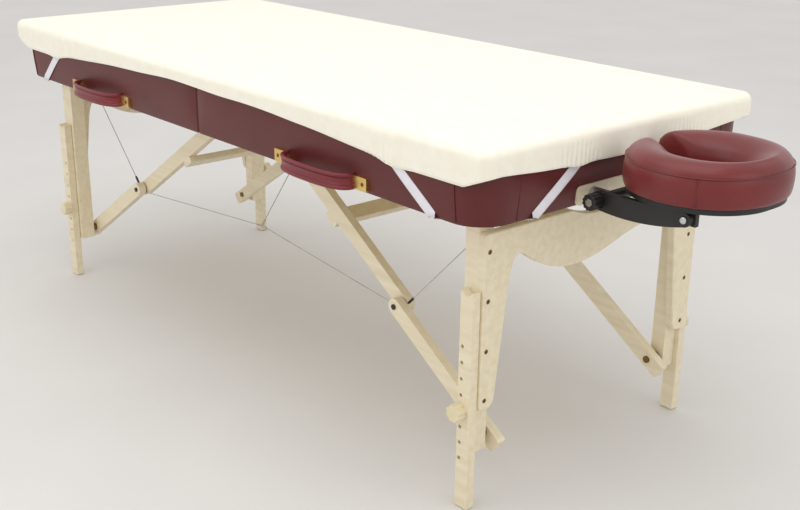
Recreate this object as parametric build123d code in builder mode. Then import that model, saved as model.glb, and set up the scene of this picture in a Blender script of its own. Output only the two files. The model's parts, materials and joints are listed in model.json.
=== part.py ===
"""Portable massage table: two padded halves on a centre hinge, folding leg frames, and a face cradle.

Millimetres, +Z up, floor at Z = 0. The pieces are drawn about the hinge line (X = 0) with the head end
towards +X and the near side towards -Y. The foot half is the head half mirrored. Each piece is moved at
the end, so that the origin lies on the floor under the middle of the whole table.
"""
import os
from math import atan2, cos, degrees, hypot, pi, radians, sin

from build123d import *

# --- Table top -------------------------------------------------------------------------------------
half_length = 914.5          # hinge line to the end of one half: a 72 inch table
table_width = 788.0          # 31 inch table
deck_underside = 605.0       # floor to the bottom of the frame rails at this leg setting
corner_radius = 70.0         # rounded end corners, over the vinyl
half_gap = 0.6               # half of the slit between the two halves
rail_thickness = 18.0
rail_depth = 72.0
panel_thickness = 5.0
foam_thickness = 66.0
vinyl_thickness = 2.0
pad_edge_radius = 20.0       # rounding of the pad's upper edge, over the vinyl

# --- Fitted sheet and its elastic corner straps ----------------------------------------------------
sheet_thickness = 3.0
sheet_overhang_end = 18.0
sheet_overhang_side = 12.0
sheet_drop = 58.0            # how far the skirt hangs below the top of the pad
sheet_corner_radius = 28.0
sheet_edge_radius = 12.0
sheet_clearance = 0.3
strap_width = 20.0
strap_thickness = 1.2
strap_tuck = 2.0             # the straps reach this far up behind the skirt
strap_side_start = 688.0     # along the side, from the hinge line: where a strap leaves the skirt,
strap_side_end = 799.0       # and where it turns under the deck
strap_end_start = 150.0      # the same across the end, from the middle
strap_end_end = 257.0

# --- Centre hinge ----------------------------------------------------------------------------------
hinge_pin_radius = 1.6
hinge_knuckle_radius = 3.2
hinge_leaf_width = 17.0
hinge_leaf_thickness = 1.4
hinge_length = 700.0
hinge_knuckles = 14
knuckle_gap = 0.4

# --- Leg frames ------------------------------------------------------------------------------------
leg_pivot_x = 827.0
leg_pivot_z = 645.0
post_width = 34.0            # along the table
post_thickness = 38.0        # across the table
post_outer_y = 322.0
post_bottom_z = 115.0
leg_block_gap = 1.5          # from a post to the block that carries it
block_depth = 50.0
end_panel_thickness = 18.0
end_panel_top = 572.0
end_panel_bottom = 212.0
end_panel_chamfer = 2.0
end_panel_corner = 9.0
scoop_half_width = 85.0      # the hand scoop in the panel's upper edge
scoop_depth = 18.0
arch_crown_z = 463.0
arch_hump_y = 198.0          # the arch rises to a hump each side of its crown
arch_hump_z = 499.0
arch_side_y = 256.0          # where the arch meets the straight, leaning side of a panel leg
arch_side_z = 455.0
panel_leg_y = 285.0          # inner corner at the foot of a panel leg
panel_leg_corner = 22.0
screw_inset = 12.0           # from a post's outer face to its line of screws
screw_heights = (536.0, 438.0, 336.0, 233.0)
screw_head_radius = 5.0
screw_head_height = 2.4
screw_recess = 3.0
screw_shank_radius = 2.4
screw_length = 40.0

# --- Leg extensions and their knobs ----------------------------------------------------------------
extension_width = 34.0
extension_thickness = 21.6
extension_length = 459.0
extension_offset_x = 12.0    # extension centre, outboard of the post centre
extension_scoop_radius = 15.0
extension_edge = 2.5
extension_foot_chamfer = 2.0
hole_pitch = 34.0
hole_count = 8
lowest_hole_z = 109.0
knob_hole_index = 3
knob_inset = 12.0            # from the end panel's inner face to the line of height holes
knob_radius = 18.0
knob_thickness = 22.0
knob_lobes = 8
knob_lobe_radius = 4.5

# --- Bolts and fits --------------------------------------------------------------------------------
bolt_radius = 4.0
bolt_head_radius = 8.0
bolt_head_height = 4.0
running_clearance = 0.06     # round a pin or rod that turns or slides
slide_clearance = 0.4        # between flat faces that pass each other

# --- Folding braces --------------------------------------------------------------------------------
brace_width = 36.0
brace_thickness = 20.0
brace_deck_pivot_x = 45.0
brace_deck_pivot_z = 648.0
brace_leg_pivot_x = 824.0
brace_leg_pivot_z = 140.0
brace_tail = 42.0            # lower brace beyond its leg pivot
brace_tail_corner = 6.0
lower_brace_outer_y = 272.0
brace_gap = 4.0              # between upper and lower brace, where the cable passes
brace_block_gap = 0.6
brace_block_length = 50.0
crossbar_distance = 330.0    # from the deck pivot, along the upper brace
crossbar_width = 38.0
crossbar_thickness = 17.0
spacer_radius = 11.0
knee_washer_radius = 7.0
knee_head_radius = 6.0
knee_head_height = 3.0

# --- Brace cables ----------------------------------------------------------------------------------
cable_diameter = 2.2
cable_bend_radius = 13.0
cable_knee_drop = 9.0        # the cable's turn below the knee pin, and outboard of it
cable_knee_out = 3.4
cable_end_z = 655.0
ring_x = 3.0                 # the ring under the hinge where all the cables meet
ring_y = 226.0
ring_z = 345.0
riser_top_y = 30.0

# --- Carrying handles ------------------------------------------------------------------------------
handle_x = 465.0
handle_half_span = 128.0
handle_turn = 34.0           # along the table, from the end of a handle to where it is fully bowed
handle_bow = 44.0
handle_bend_radius = 40.0
handle_height = 34.0
handle_thickness = 8.0
handle_z = 622.0
plate_width = 46.0
plate_height = 27.0
plate_thickness = 8.0
plate_corner = 2.0

# --- Face cradle -----------------------------------------------------------------------------------
rod_spacing = 200.0
rod_radius = 12.5
rod_z = 624.0
rod_inner_x = 780.0
port_plate_width = 290.0
port_plate_height = 38.0
port_plate_thickness = 6.0
port_plate_corner = 10.0
yoke_x = 958.0
yoke_radius = 11.0
yoke_stub_radius = 5.0
arm_outer_y = 133.0
arm_thickness = 12.0
arm_end_x = 1148.0
arm_end_z = 634.0
arm_root_radius = 17.0
arm_tip_radius = 13.0
arm_belly = 9.0              # how far the arm's lower edge sags below a straight line
arm_cap_radius = 6.0
arm_cap_height = 3.0
cradle_knob_radius = 16.0
cradle_knob_thickness = 24.0
cradle_knob_flutes = 12
cradle_knob_flute_radius = 3.0
cradle_pad_length = 290.0
cradle_pad_width = 306.0
cradle_pad_x = 1098.0
cradle_pad_bottom = 657.0
cradle_pad_thickness = 78.0
cradle_pad_corner = 138.0
cradle_pad_edge = 10.0
face_hole_length = 150.0
face_hole_width = 104.0
face_gap_width = 62.0
cradle_board_thickness = 9.0
cradle_board_inset = 10.0
tilt_plate_thickness = 2.0
tilt_plate_inset = 43.0
tilt_plate_hole_inset = 12.0
cradle_ear_thickness = 10.0
cradle_ear_length = 32.0
cradle_ear_depth = 26.0

# --- Derived places --------------------------------------------------------------------------------
half_width = table_width / 2
panel_z = deck_underside + rail_depth
foam_z = panel_z + panel_thickness
pad_top = foam_z + foam_thickness + vinyl_thickness
sheet_top = pad_top + sheet_clearance + sheet_thickness
sheet_bottom = pad_top - sheet_drop
frame_half_width = half_width - vinyl_thickness
frame_start = half_gap + vinyl_thickness
frame_end = half_length - vinyl_thickness
frame_corner = corner_radius - vinyl_thickness
rail_split_x = frame_end - frame_corner
rail_inner_y = frame_half_width - rail_thickness
hinge_z = deck_underside - hinge_knuckle_radius - sheet_clearance
post_inner_y = post_outer_y - post_thickness
panel_inner_x = leg_pivot_x + post_width / 2
panel_outer_x = panel_inner_x + end_panel_thickness
extension_inner_y = post_outer_y + slide_clearance
extension_outer_y = extension_inner_y + extension_thickness
extension_x = leg_pivot_x + extension_offset_x
knob_z = lowest_hole_z + knob_hole_index * hole_pitch
knob_x = panel_inner_x - knob_inset
lower_brace_inner_y = lower_brace_outer_y - brace_thickness
upper_brace_outer_y = lower_brace_inner_y - brace_gap
upper_brace_inner_y = upper_brace_outer_y - brace_thickness
brace_block_y = upper_brace_outer_y + brace_block_gap
screw_y = post_outer_y - screw_inset
arm_inner_y = arm_outer_y - arm_thickness
yoke_end_y = arm_outer_y + slide_clearance
ear_outer_y = arm_inner_y - slide_clearance
hole_radius = bolt_radius + running_clearance

# The braces lie straight when open, and the knee folds until both lie flat under the deck: the upper
# brace is then as much longer than the lower one as their two pivots are apart.
brace_span = hypot(brace_leg_pivot_x - brace_deck_pivot_x, brace_deck_pivot_z - brace_leg_pivot_z)
folded_leg_pivot_x = leg_pivot_x - (leg_pivot_z - brace_leg_pivot_z)
folded_span = folded_leg_pivot_x - brace_deck_pivot_x
upper_brace_length = (brace_span + folded_span) / 2
lower_brace_length = brace_span - upper_brace_length
brace_angle = degrees(atan2(brace_deck_pivot_z - brace_leg_pivot_z, brace_leg_pivot_x - brace_deck_pivot_x))
brace_dx = cos(radians(brace_angle))
brace_dz = -sin(radians(brace_angle))
knee_x = brace_deck_pivot_x + upper_brace_length * brace_dx
knee_z = brace_deck_pivot_z + upper_brace_length * brace_dz

# Origin: on the floor, under the middle of the box that holds the open table and its cradle.
reach_foot = half_length + sheet_overhang_end
reach_head = cradle_pad_x + cradle_pad_length / 2
reach_near = half_width + handle_bow + handle_thickness / 2
reach_far = half_width + sheet_overhang_side
origin_x = (reach_head - reach_foot) / 2
origin_y = (reach_far - reach_near) / 2


def save(piece, name):
    """Move a finished piece from the hinge frame to the table's own origin, and write it."""
    placed = piece.moved(Location((-origin_x, -origin_y, 0)))
    placed.label = name
    export_step(placed, f"parts/{name}.step")


def save_both_halves(piece, name):
    """Write the head half's piece, and its mirror image for the foot half."""
    save(piece, f"head_{name}")
    save(piece.mirror(Plane.YZ), f"foot_{name}")


def rod_along_y(x, z, y_from, y_to, radius, mode=Mode.ADD):
    """A round bar across the table, added to or cut from the part being built."""
    with Locations(Location((x, (y_from + y_to) / 2, z), (90, 0, 0))):
        Cylinder(radius, abs(y_to - y_from), mode=mode)


def half_outline(x_from, x_to, half_y, radius):
    """Plan of one half: square at the hinge, rounded at the end."""
    with Locations(((x_from + x_to) / 2, 0)):
        Rectangle(x_to - x_from, 2 * half_y)
    fillet([v for v in vertices() if v.X > (x_from + x_to) / 2], radius)


def top_edges():
    return faces().sort_by(Axis.Z)[-1].edges()


os.makedirs("parts", exist_ok=True)

# --- Frame rails -----------------------------------------------------------------------------------
with BuildPart() as side_rails:
    with Locations((frame_start, -rail_inner_y, deck_underside)):
        Box(rail_split_x - frame_start, rail_thickness, rail_depth, align=(Align.MIN, Align.MAX, Align.MIN))
    with Locations((leg_pivot_x, -rail_inner_y, panel_z)):
        Box(post_width, rail_inner_y - post_outer_y - leg_block_gap, block_depth,
            align=(Align.CENTER, Align.MIN, Align.MAX))
    rod_along_y(leg_pivot_x, leg_pivot_z, -rail_inner_y, -post_outer_y, bolt_radius, Mode.SUBTRACT)
    mirror(about=Plane.XZ)
save_both_halves(side_rails.part, "side_rails")

with BuildPart() as end_rail:
    with BuildSketch(Plane.XY.offset(deck_underside)):
        half_outline(frame_start, frame_end, frame_half_width, frame_corner)
    extrude(amount=rail_depth)
    with BuildSketch(Plane.XY.offset(deck_underside)):
        half_outline(0, frame_end - rail_thickness, rail_inner_y, frame_corner - rail_thickness)
    extrude(amount=rail_depth, mode=Mode.SUBTRACT)
    split(bisect_by=Plane.YZ.offset(rail_split_x), keep=Keep.TOP)
save(end_rail.part.mirror(Plane.YZ), "foot_end_rail")


def cut_rod_holes(face_x, depth):
    """The two ports that take the cradle's rods."""
    for side in (-1, 1):
        with Locations(Location((face_x - depth / 2, side * rod_spacing / 2, rod_z), (0, 90, 0))):
            Cylinder(rod_radius + running_clearance, depth, mode=Mode.SUBTRACT)


with BuildPart() as head_end_rail:
    add(end_rail.part)
    cut_rod_holes(frame_end, rail_thickness)
save(head_end_rail.part, "head_end_rail")

with BuildPart() as hinge_rail:
    with Locations((frame_start, 0, deck_underside)):
        Box(rail_thickness, 2 * rail_inner_y, rail_depth, align=(Align.MIN, Align.CENTER, Align.MIN))
    with Locations((frame_start + rail_thickness, -brace_block_y, panel_z)):
        Box(brace_block_length, brace_thickness, block_depth, align=(Align.MIN, Align.MAX, Align.MAX))
    rod_along_y(brace_deck_pivot_x, brace_deck_pivot_z, -brace_block_y - brace_thickness, -brace_block_y,
                bolt_radius, Mode.SUBTRACT)
    mirror(about=Plane.XZ)
save_both_halves(hinge_rail.part, "hinge_rail")

# --- Deck panel, foam and vinyl ----------------------------------------------------------------------
with BuildPart() as deck_panel:
    with BuildSketch(Plane.XY.offset(panel_z)):
        half_outline(frame_start, frame_end, frame_half_width, frame_corner)
    extrude(amount=panel_thickness)
save_both_halves(deck_panel.part, "deck_panel")

with BuildPart() as foam_pad:
    with BuildSketch(Plane.XY.offset(foam_z)):
        half_outline(frame_start, frame_end, frame_half_width, frame_corner)
    extrude(amount=foam_thickness)
    fillet(top_edges(), pad_edge_radius - vinyl_thickness)
save_both_halves(foam_pad.part, "foam_pad")

with BuildPart() as padded_box:
    with BuildSketch(Plane.XY.offset(deck_underside)):
        half_outline(frame_start, frame_end, frame_half_width, frame_corner)
    extrude(amount=pad_top - vinyl_thickness - deck_underside)
    fillet(top_edges(), pad_edge_radius - vinyl_thickness)

with BuildPart() as vinyl_cover:
    with BuildSketch(Plane.XY.offset(deck_underside)):
        half_outline(half_gap, half_length, half_width, corner_radius)
    extrude(amount=pad_top - deck_underside)
    fillet(top_edges(), pad_edge_radius)
    add(padded_box.part, mode=Mode.SUBTRACT)
save(vinyl_cover.part.mirror(Plane.YZ), "foot_vinyl_cover")

with BuildPart() as head_vinyl_cover:
    add(vinyl_cover.part)
    cut_rod_holes(half_length, vinyl_thickness)
save(head_vinyl_cover.part, "head_vinyl_cover")

# --- Fitted sheet: one half each side of the hinge line ----------------------------------------------
with BuildPart() as sheet_pocket:
    with BuildSketch(Plane.XY.offset(sheet_bottom)):
        half_outline(-sheet_drop, half_length + sheet_overhang_end - sheet_thickness,
                     half_width + sheet_overhang_side - sheet_thickness,
                     sheet_corner_radius - sheet_thickness)
    extrude(amount=sheet_drop + sheet_clearance)
    fillet(top_edges(), sheet_edge_radius - sheet_thickness)

with BuildPart() as sheet:
    with BuildSketch(Plane.XY.offset(sheet_bottom)):
        half_outline(-sheet_drop, half_length + sheet_overhang_end, half_width + sheet_overhang_side,
                     sheet_corner_radius)
    extrude(amount=sheet_top - sheet_bottom)
    fillet(top_edges(), sheet_edge_radius)
    add(sheet_pocket.part, mode=Mode.SUBTRACT)
    split(bisect_by=Plane.YZ.offset(half_gap), keep=Keep.TOP)
save_both_halves(sheet.part, "sheet")

# --- Elastic corner straps: down the side, under the corner, up the end ------------------------------
strap_top_z = sheet_bottom + strap_tuck
strap_low_z = deck_underside - strap_thickness - sheet_clearance
strap_fall = strap_top_z - strap_low_z
side_strap_half = strap_width / 2 * hypot(strap_fall, strap_side_end - strap_side_start) / strap_fall
end_strap_half = strap_width / 2 * hypot(strap_fall, strap_end_end - strap_end_start) / strap_fall
strap_outer_x = half_length + strap_thickness
strap_outer_y = half_width + strap_thickness

with BuildPart() as corner_straps:
    with BuildSketch(Plane.XZ.offset(half_width)):
        with BuildLine():
            Polyline((strap_side_start - side_strap_half, strap_top_z),
                     (strap_side_start + side_strap_half, strap_top_z),
                     (strap_side_end + side_strap_half, strap_low_z),
                     (strap_side_end - side_strap_half, strap_low_z), close=True)
        make_face()
    extrude(amount=strap_thickness)
    with BuildSketch(Plane.YZ.offset(half_length)):
        with BuildLine():
            Polyline((-strap_end_start - end_strap_half, strap_top_z),
                     (-strap_end_start + end_strap_half, strap_top_z),
                     (-strap_end_end + end_strap_half, strap_low_z),
                     (-strap_end_end - end_strap_half, strap_low_z), close=True)
        make_face()
    extrude(amount=strap_thickness)
    with BuildSketch(Plane.XY.offset(strap_low_z)):
        with BuildLine():
            Polyline((strap_side_end - side_strap_half, -strap_outer_y),
                     (strap_side_end + side_strap_half, -strap_outer_y),
                     (strap_outer_x, -strap_end_end - end_strap_half),
                     (strap_outer_x, -strap_end_end + end_strap_half), close=True)
        make_face()
    extrude(amount=strap_thickness)
    mirror(about=Plane.XZ)
save_both_halves(corner_straps.part, "corner_straps")

# --- Centre hinge ------------------------------------------------------------------------------------
knuckle_length = hinge_length / hinge_knuckles
leaf_start_x = hinge_knuckle_radius + sheet_clearance


def hinge_leaf(first_knuckle):
    """A leaf under one hinge rail, with every second knuckle of the row round the pin."""
    with BuildPart() as leaf:
        with Locations((leaf_start_x, 0, deck_underside)):
            Box(hinge_leaf_width, hinge_length, hinge_leaf_thickness,
                align=(Align.MIN, Align.CENTER, Align.MAX))
        for i in range(first_knuckle, hinge_knuckles, 2):
            knuckle_start = -hinge_length / 2 + i * knuckle_length + knuckle_gap / 2
            knuckle_end = knuckle_start + knuckle_length - knuckle_gap
            rod_along_y(0, hinge_z, knuckle_start, knuckle_end, hinge_knuckle_radius)
            with Locations((0, (knuckle_start + knuckle_end) / 2, deck_underside - sheet_clearance)):
                Box(leaf_start_x, knuckle_length - knuckle_gap, hinge_leaf_thickness - sheet_clearance,
                    align=(Align.MIN, Align.CENTER, Align.MAX))
        rod_along_y(0, hinge_z, -hinge_length, hinge_length, hinge_pin_radius + running_clearance,
                    Mode.SUBTRACT)
    return leaf.part


save(hinge_leaf(0), "head_hinge_leaf")
save(hinge_leaf(1).mirror(Plane.YZ), "foot_hinge_leaf")

with BuildPart() as hinge_pin:
    rod_along_y(0, hinge_z, -hinge_length / 2, hinge_length / 2, hinge_pin_radius)
save(hinge_pin.part, "hinge_pin")

# --- Carrying handles, on the near side --------------------------------------------------------------
handle_start_y = -half_width - plate_thickness
handle_bow_y = -half_width - handle_bow
handle_start = (handle_x - handle_half_span, handle_start_y, handle_z)

with BuildPart() as handle:
    with BuildLine() as handle_path:
        FilletPolyline(handle_start, (handle_x - handle_half_span + handle_turn, handle_bow_y, handle_z),
                       (handle_x + handle_half_span - handle_turn, handle_bow_y, handle_z),
                       (handle_x + handle_half_span, handle_start_y, handle_z), radius=handle_bend_radius)
    with BuildSketch(Plane(origin=handle_start, x_dir=(0, 0, 1), z_dir=handle_path.line % 0)):
        RectangleRounded(handle_height, handle_thickness, handle_thickness / 2 - 0.1)
    sweep()
    split(bisect_by=Plane.XZ.offset(-handle_start_y), keep=Keep.TOP)
save_both_halves(handle.part, "handle")

with BuildPart() as handle_plates:
    for side in (-1, 1):
        with Locations((handle_x + side * handle_half_span, -half_width, handle_z)):
            Box(plate_width, plate_thickness, plate_height, align=(Align.CENTER, Align.MAX, Align.CENTER))
    fillet(edges().filter_by(Axis.Y), plate_corner)
save_both_halves(handle_plates.part, "handle_plates")

# --- Pivot bolts on the deck halves: leg pivots at the posts, brace pivots at the hinge blocks -------
with BuildPart() as pivot_bolts:
    leg_head_y = post_inner_y - slide_clearance
    rod_along_y(leg_pivot_x, leg_pivot_z, -rail_inner_y, -leg_head_y, bolt_radius)
    rod_along_y(leg_pivot_x, leg_pivot_z, -leg_head_y, -leg_head_y + bolt_head_height, bolt_head_radius)
    brace_head_y = upper_brace_inner_y - slide_clearance
    rod_along_y(brace_deck_pivot_x, brace_deck_pivot_z, -brace_block_y - brace_thickness, -brace_head_y,
                bolt_radius)
    rod_along_y(brace_deck_pivot_x, brace_deck_pivot_z, -brace_head_y, -brace_head_y + bolt_head_height,
                bolt_head_radius)
    mirror(about=Plane.XZ)
save_both_halves(pivot_bolts.part, "pivot_bolts")

# --- Leg frame: arched end panel, posts and screws ---------------------------------------------------
with BuildPart() as end_panel:
    with BuildSketch(Plane.YZ.offset(panel_inner_x)):
        with BuildLine():
            ThreePointArc((scoop_half_width, end_panel_top), (0, end_panel_top - scoop_depth),
                          (-scoop_half_width, end_panel_top))
            Polyline((scoop_half_width, end_panel_top), (post_outer_y, end_panel_top),
                     (post_outer_y, end_panel_bottom), (panel_leg_y, end_panel_bottom),
                     (arch_side_y, arch_side_z))
            Polyline((-scoop_half_width, end_panel_top), (-post_outer_y, end_panel_top),
                     (-post_outer_y, end_panel_bottom), (-panel_leg_y, end_panel_bottom),
                     (-arch_side_y, arch_side_z))
            lean_y = panel_leg_y - arch_side_y
            lean_z = arch_side_z - end_panel_bottom
            Spline((arch_side_y, arch_side_z), (arch_hump_y, arch_hump_z), (0, arch_crown_z),
                   (-arch_hump_y, arch_hump_z), (-arch_side_y, arch_side_z),
                   tangents=[(-lean_y, lean_z), (-lean_y, -lean_z)])
        make_face()
        fillet([v for v in vertices() if abs(v.Y - end_panel_bottom) < 1 and abs(v.X) < panel_leg_y + 1],
               panel_leg_corner)
        fillet([v for v in vertices() if abs(v.X) > post_outer_y - 1], end_panel_corner)
    extrude(amount=end_panel_thickness)
    chamfer(faces().sort_by(Axis.X)[-1].outer_wire().edges(), end_panel_chamfer)
    for height in screw_heights:
        for side in (-1, 1):
            with Locations(Location((panel_outer_x, side * screw_y, height), (0, 90, 0))):
                CounterBoreHole(screw_shank_radius, screw_head_radius, screw_recess, end_panel_thickness)
save_both_halves(end_panel.part, "end_panel")

with BuildPart() as leg_posts:
    with BuildSketch(Plane.XZ.offset(post_inner_y)):
        with Locations((leg_pivot_x, (post_bottom_z + leg_pivot_z) / 2)):
            Rectangle(post_width, leg_pivot_z - post_bottom_z)
        with Locations((leg_pivot_x, leg_pivot_z)):
            Circle(post_width / 2)
            Circle(hole_radius, mode=Mode.SUBTRACT)
    extrude(amount=post_thickness)
    rod_along_y(brace_leg_pivot_x, brace_leg_pivot_z, -post_outer_y + bolt_head_height, -post_inner_y,
                bolt_radius, Mode.SUBTRACT)
    post_screw_depth = screw_length - end_panel_thickness
    for height in screw_heights:
        with Locations(Location((panel_inner_x - post_screw_depth / 2, -screw_y, height), (0, 90, 0))):
            Cylinder(screw_shank_radius, post_screw_depth, mode=Mode.SUBTRACT)
    mirror(about=Plane.XZ)
save_both_halves(leg_posts.part, "leg_posts")

# The panel screws, and the bolts that carry the lower braces, each with its spacer.
brace_bolt_end_y = lower_brace_inner_y - slide_clearance
brace_bolt_head_y = brace_bolt_end_y - brace_gap + 2 * slide_clearance
with BuildPart() as leg_fasteners:
    head_start_x = panel_outer_x - screw_recess
    for height in screw_heights:
        with Locations(Location((head_start_x + screw_head_height / 2, -screw_y, height), (0, 90, 0))):
            Cylinder(screw_head_radius, screw_head_height)
        screw_end_x = panel_inner_x - post_screw_depth
        with Locations(Location(((head_start_x + screw_end_x) / 2, -screw_y, height), (0, 90, 0))):
            Cylinder(screw_shank_radius, head_start_x - screw_end_x)
    rod_along_y(brace_leg_pivot_x, brace_leg_pivot_z, -post_outer_y + bolt_head_height, -brace_bolt_end_y,
                bolt_radius)
    rod_along_y(brace_leg_pivot_x, brace_leg_pivot_z, -post_inner_y, -lower_brace_outer_y - slide_clearance,
                spacer_radius)
    rod_along_y(brace_leg_pivot_x, brace_leg_pivot_z, -brace_bolt_end_y, -brace_bolt_head_y, bolt_head_radius)
    mirror(about=Plane.XZ)
save_both_halves(leg_fasteners.part, "leg_fasteners")

# --- Telescoping leg extensions with their rows of height holes, and the clamp knobs -----------------
with BuildPart() as extension:
    with Locations((extension_x, -extension_inner_y, 0)):
        Box(extension_width, extension_thickness, extension_length,
            align=(Align.CENTER, Align.MAX, Align.MIN))
    fillet(edges().filter_by(Axis.Z), extension_edge)
    chamfer(faces().sort_by(Axis.Z)[0].edges(), extension_foot_chamfer)
    rod_along_y(extension_x, extension_length + extension_scoop_radius / 2, -extension_inner_y,
                -extension_outer_y, extension_scoop_radius, Mode.SUBTRACT)
    for i in range(hole_count):
        rod_along_y(knob_x, lowest_hole_z + i * hole_pitch, -extension_inner_y, -extension_outer_y,
                    hole_radius, Mode.SUBTRACT)
save_both_halves(extension.part, "extension_near")
save_both_halves(extension.part.mirror(Plane.XZ), "extension_far")

with BuildPart() as knob:
    with BuildSketch(Plane.XZ.offset(extension_outer_y + running_clearance)):
        with Locations((knob_x, knob_z)):
            Circle(knob_radius)
            with PolarLocations(knob_radius + knob_lobe_radius / 2, knob_lobes):
                Circle(knob_lobe_radius, mode=Mode.SUBTRACT)
    extrude(amount=knob_thickness)
    chamfer(faces().sort_by(Axis.Y)[0].edges(), 1)
    rod_along_y(knob_x, knob_z, -extension_inner_y, -extension_outer_y - 1, bolt_radius)
save_both_halves(knob.part, "knob_near")
save_both_halves(knob.part.mirror(Plane.XZ), "knob_far")

# --- Folding braces ----------------------------------------------------------------------------------


def brace_plane(y, x, z):
    """A plane square to Y, with its X down the brace from the given point."""
    return Plane(origin=(x, y, z), x_dir=(brace_dx, 0, brace_dz), z_dir=(0, -1, 0))


with BuildPart() as upper_braces:
    with BuildSketch(brace_plane(-upper_brace_inner_y, brace_deck_pivot_x, brace_deck_pivot_z)):
        Circle(brace_width / 2)
        with Locations((upper_brace_length, 0)):
            Circle(brace_width / 2)
        with Locations((upper_brace_length / 2, 0)):
            Rectangle(upper_brace_length, brace_width)
        Circle(hole_radius, mode=Mode.SUBTRACT)
    extrude(amount=brace_thickness)
    mirror(about=Plane.XZ)
save_both_halves(upper_braces.part, "upper_braces")

with BuildPart() as brace_crossbar:
    with BuildSketch(brace_plane(-upper_brace_outer_y, brace_deck_pivot_x, brace_deck_pivot_z)):
        with Locations((crossbar_distance, -(brace_width + crossbar_thickness) / 2)):
            RectangleRounded(crossbar_width, crossbar_thickness, extension_edge)
    extrude(amount=-2 * upper_brace_outer_y)
save_both_halves(brace_crossbar.part, "brace_crossbar")

with BuildPart() as lower_braces:
    with BuildSketch(brace_plane(-lower_brace_inner_y, knee_x, knee_z)):
        Circle(brace_width / 2)
        with Locations(((lower_brace_length + brace_tail) / 2, 0)):
            Rectangle(lower_brace_length + brace_tail, brace_width)
        fillet([v for v in vertices() if v.distance_to(Vertex(0, 0, 0)) > lower_brace_length],
               brace_tail_corner)
        Circle(bolt_radius, mode=Mode.SUBTRACT)
        with Locations((lower_brace_length, 0)):
            Circle(hole_radius, mode=Mode.SUBTRACT)
    extrude(amount=brace_thickness)
    mirror(about=Plane.XZ)
save_both_halves(lower_braces.part, "lower_braces")

with BuildPart() as knee_pins:
    knee_pin_end_y = upper_brace_outer_y + slide_clearance
    rod_along_y(knee_x, knee_z, -lower_brace_outer_y, -knee_pin_end_y, bolt_radius)
    rod_along_y(knee_x, knee_z, -lower_brace_outer_y - knee_head_height, -lower_brace_outer_y, knee_head_radius)
    rod_along_y(knee_x, knee_z, -lower_brace_inner_y, -knee_pin_end_y, knee_washer_radius)
    mirror(about=Plane.XZ)
save_both_halves(knee_pins.part, "knee_pins")

# --- Brace cables: from the end rail, round the knee pin, to the ring under the hinge ----------------
cable_y = lower_brace_inner_y - running_clearance - cable_diameter / 2
ring = (ring_x, -ring_y, ring_z)
cable_knee = (knee_x + cable_knee_out, -cable_y, knee_z - cable_knee_drop)
cable_end = (frame_end - rail_thickness, -cable_y, cable_end_z)

with BuildPart() as brace_cables:
    with BuildLine() as cable_path:
        FilletPolyline(ring, cable_knee, cable_end, radius=cable_bend_radius)
    with BuildSketch(Plane(origin=ring, z_dir=cable_path.line % 0)):
        Circle(cable_diameter / 2)
    sweep()
    mirror(about=Plane.XZ)
save(brace_cables.part, "head_brace_cables")
cable_section = pi * cable_diameter ** 2 / 4
print("brace cable: volume", round(brace_cables.part.volume / 2), "mm3; section x length",
      round(cable_section * cable_path.wires()[0].length), "mm3; bend radius", cable_bend_radius)

# The foot half's cables also carry a riser each, from the ring to the middle of the hinge rail.
riser_foot = (-ring_x, -ring_y, ring_z)
riser_top = (-frame_start - rail_thickness / 2, -riser_top_y, deck_underside - hinge_leaf_thickness)
with BuildPart() as foot_brace_cables:
    with BuildLine() as riser:
        Line(riser_foot, riser_top)
    with BuildSketch(Plane(origin=riser_foot, z_dir=riser.line % 0)):
        Circle(cable_diameter / 2)
    sweep()
    mirror(about=Plane.XZ)
    add(brace_cables.part.mirror(Plane.YZ))
save(foot_brace_cables.part, "foot_brace_cables")

# --- Face cradle: port plate, rods and yoke ----------------------------------------------------------
with BuildPart() as port_plate:
    with BuildSketch(Plane.YZ.offset(half_length)):
        with Locations((0, rod_z)):
            RectangleRounded(port_plate_width, port_plate_height, port_plate_corner)
    extrude(amount=port_plate_thickness)
    cut_rod_holes(half_length + port_plate_thickness, port_plate_thickness)
save(port_plate.part, "cradle_port_plate")

with BuildPart() as cradle_rods:
    for side in (-1, 1):
        with Locations(Location(((rod_inner_x + yoke_x) / 2, side * rod_spacing / 2, rod_z), (0, 90, 0))):
            Cylinder(rod_radius, yoke_x - rod_inner_x)
    rod_along_y(yoke_x, rod_z, -arm_inner_y, arm_inner_y, yoke_radius, Mode.SUBTRACT)
save(cradle_rods.part, "cradle_rods")

# The yoke tube joins the rods. Its thinner ends carry the arms and take their clamp knobs.
with BuildPart() as cradle_yoke:
    rod_along_y(yoke_x, rod_z, -ear_outer_y, ear_outer_y, yoke_radius)
    rod_along_y(yoke_x, rod_z, -yoke_end_y, yoke_end_y, yoke_stub_radius)
save(cradle_yoke.part, "cradle_yoke")

with BuildPart() as cradle_knob:
    with BuildSketch(Plane.XZ.offset(yoke_end_y + running_clearance)):
        with Locations((yoke_x, rod_z)):
            Circle(cradle_knob_radius)
            with PolarLocations(cradle_knob_radius + cradle_knob_flute_radius / 2, cradle_knob_flutes):
                Circle(cradle_knob_flute_radius, mode=Mode.SUBTRACT)
    extrude(amount=cradle_knob_thickness)
    chamfer(faces().sort_by(Axis.Y)[0].edges(), 1)
save(cradle_knob.part, "cradle_knob_near")
save(cradle_knob.part.mirror(Plane.XZ), "cradle_knob_far")

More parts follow.
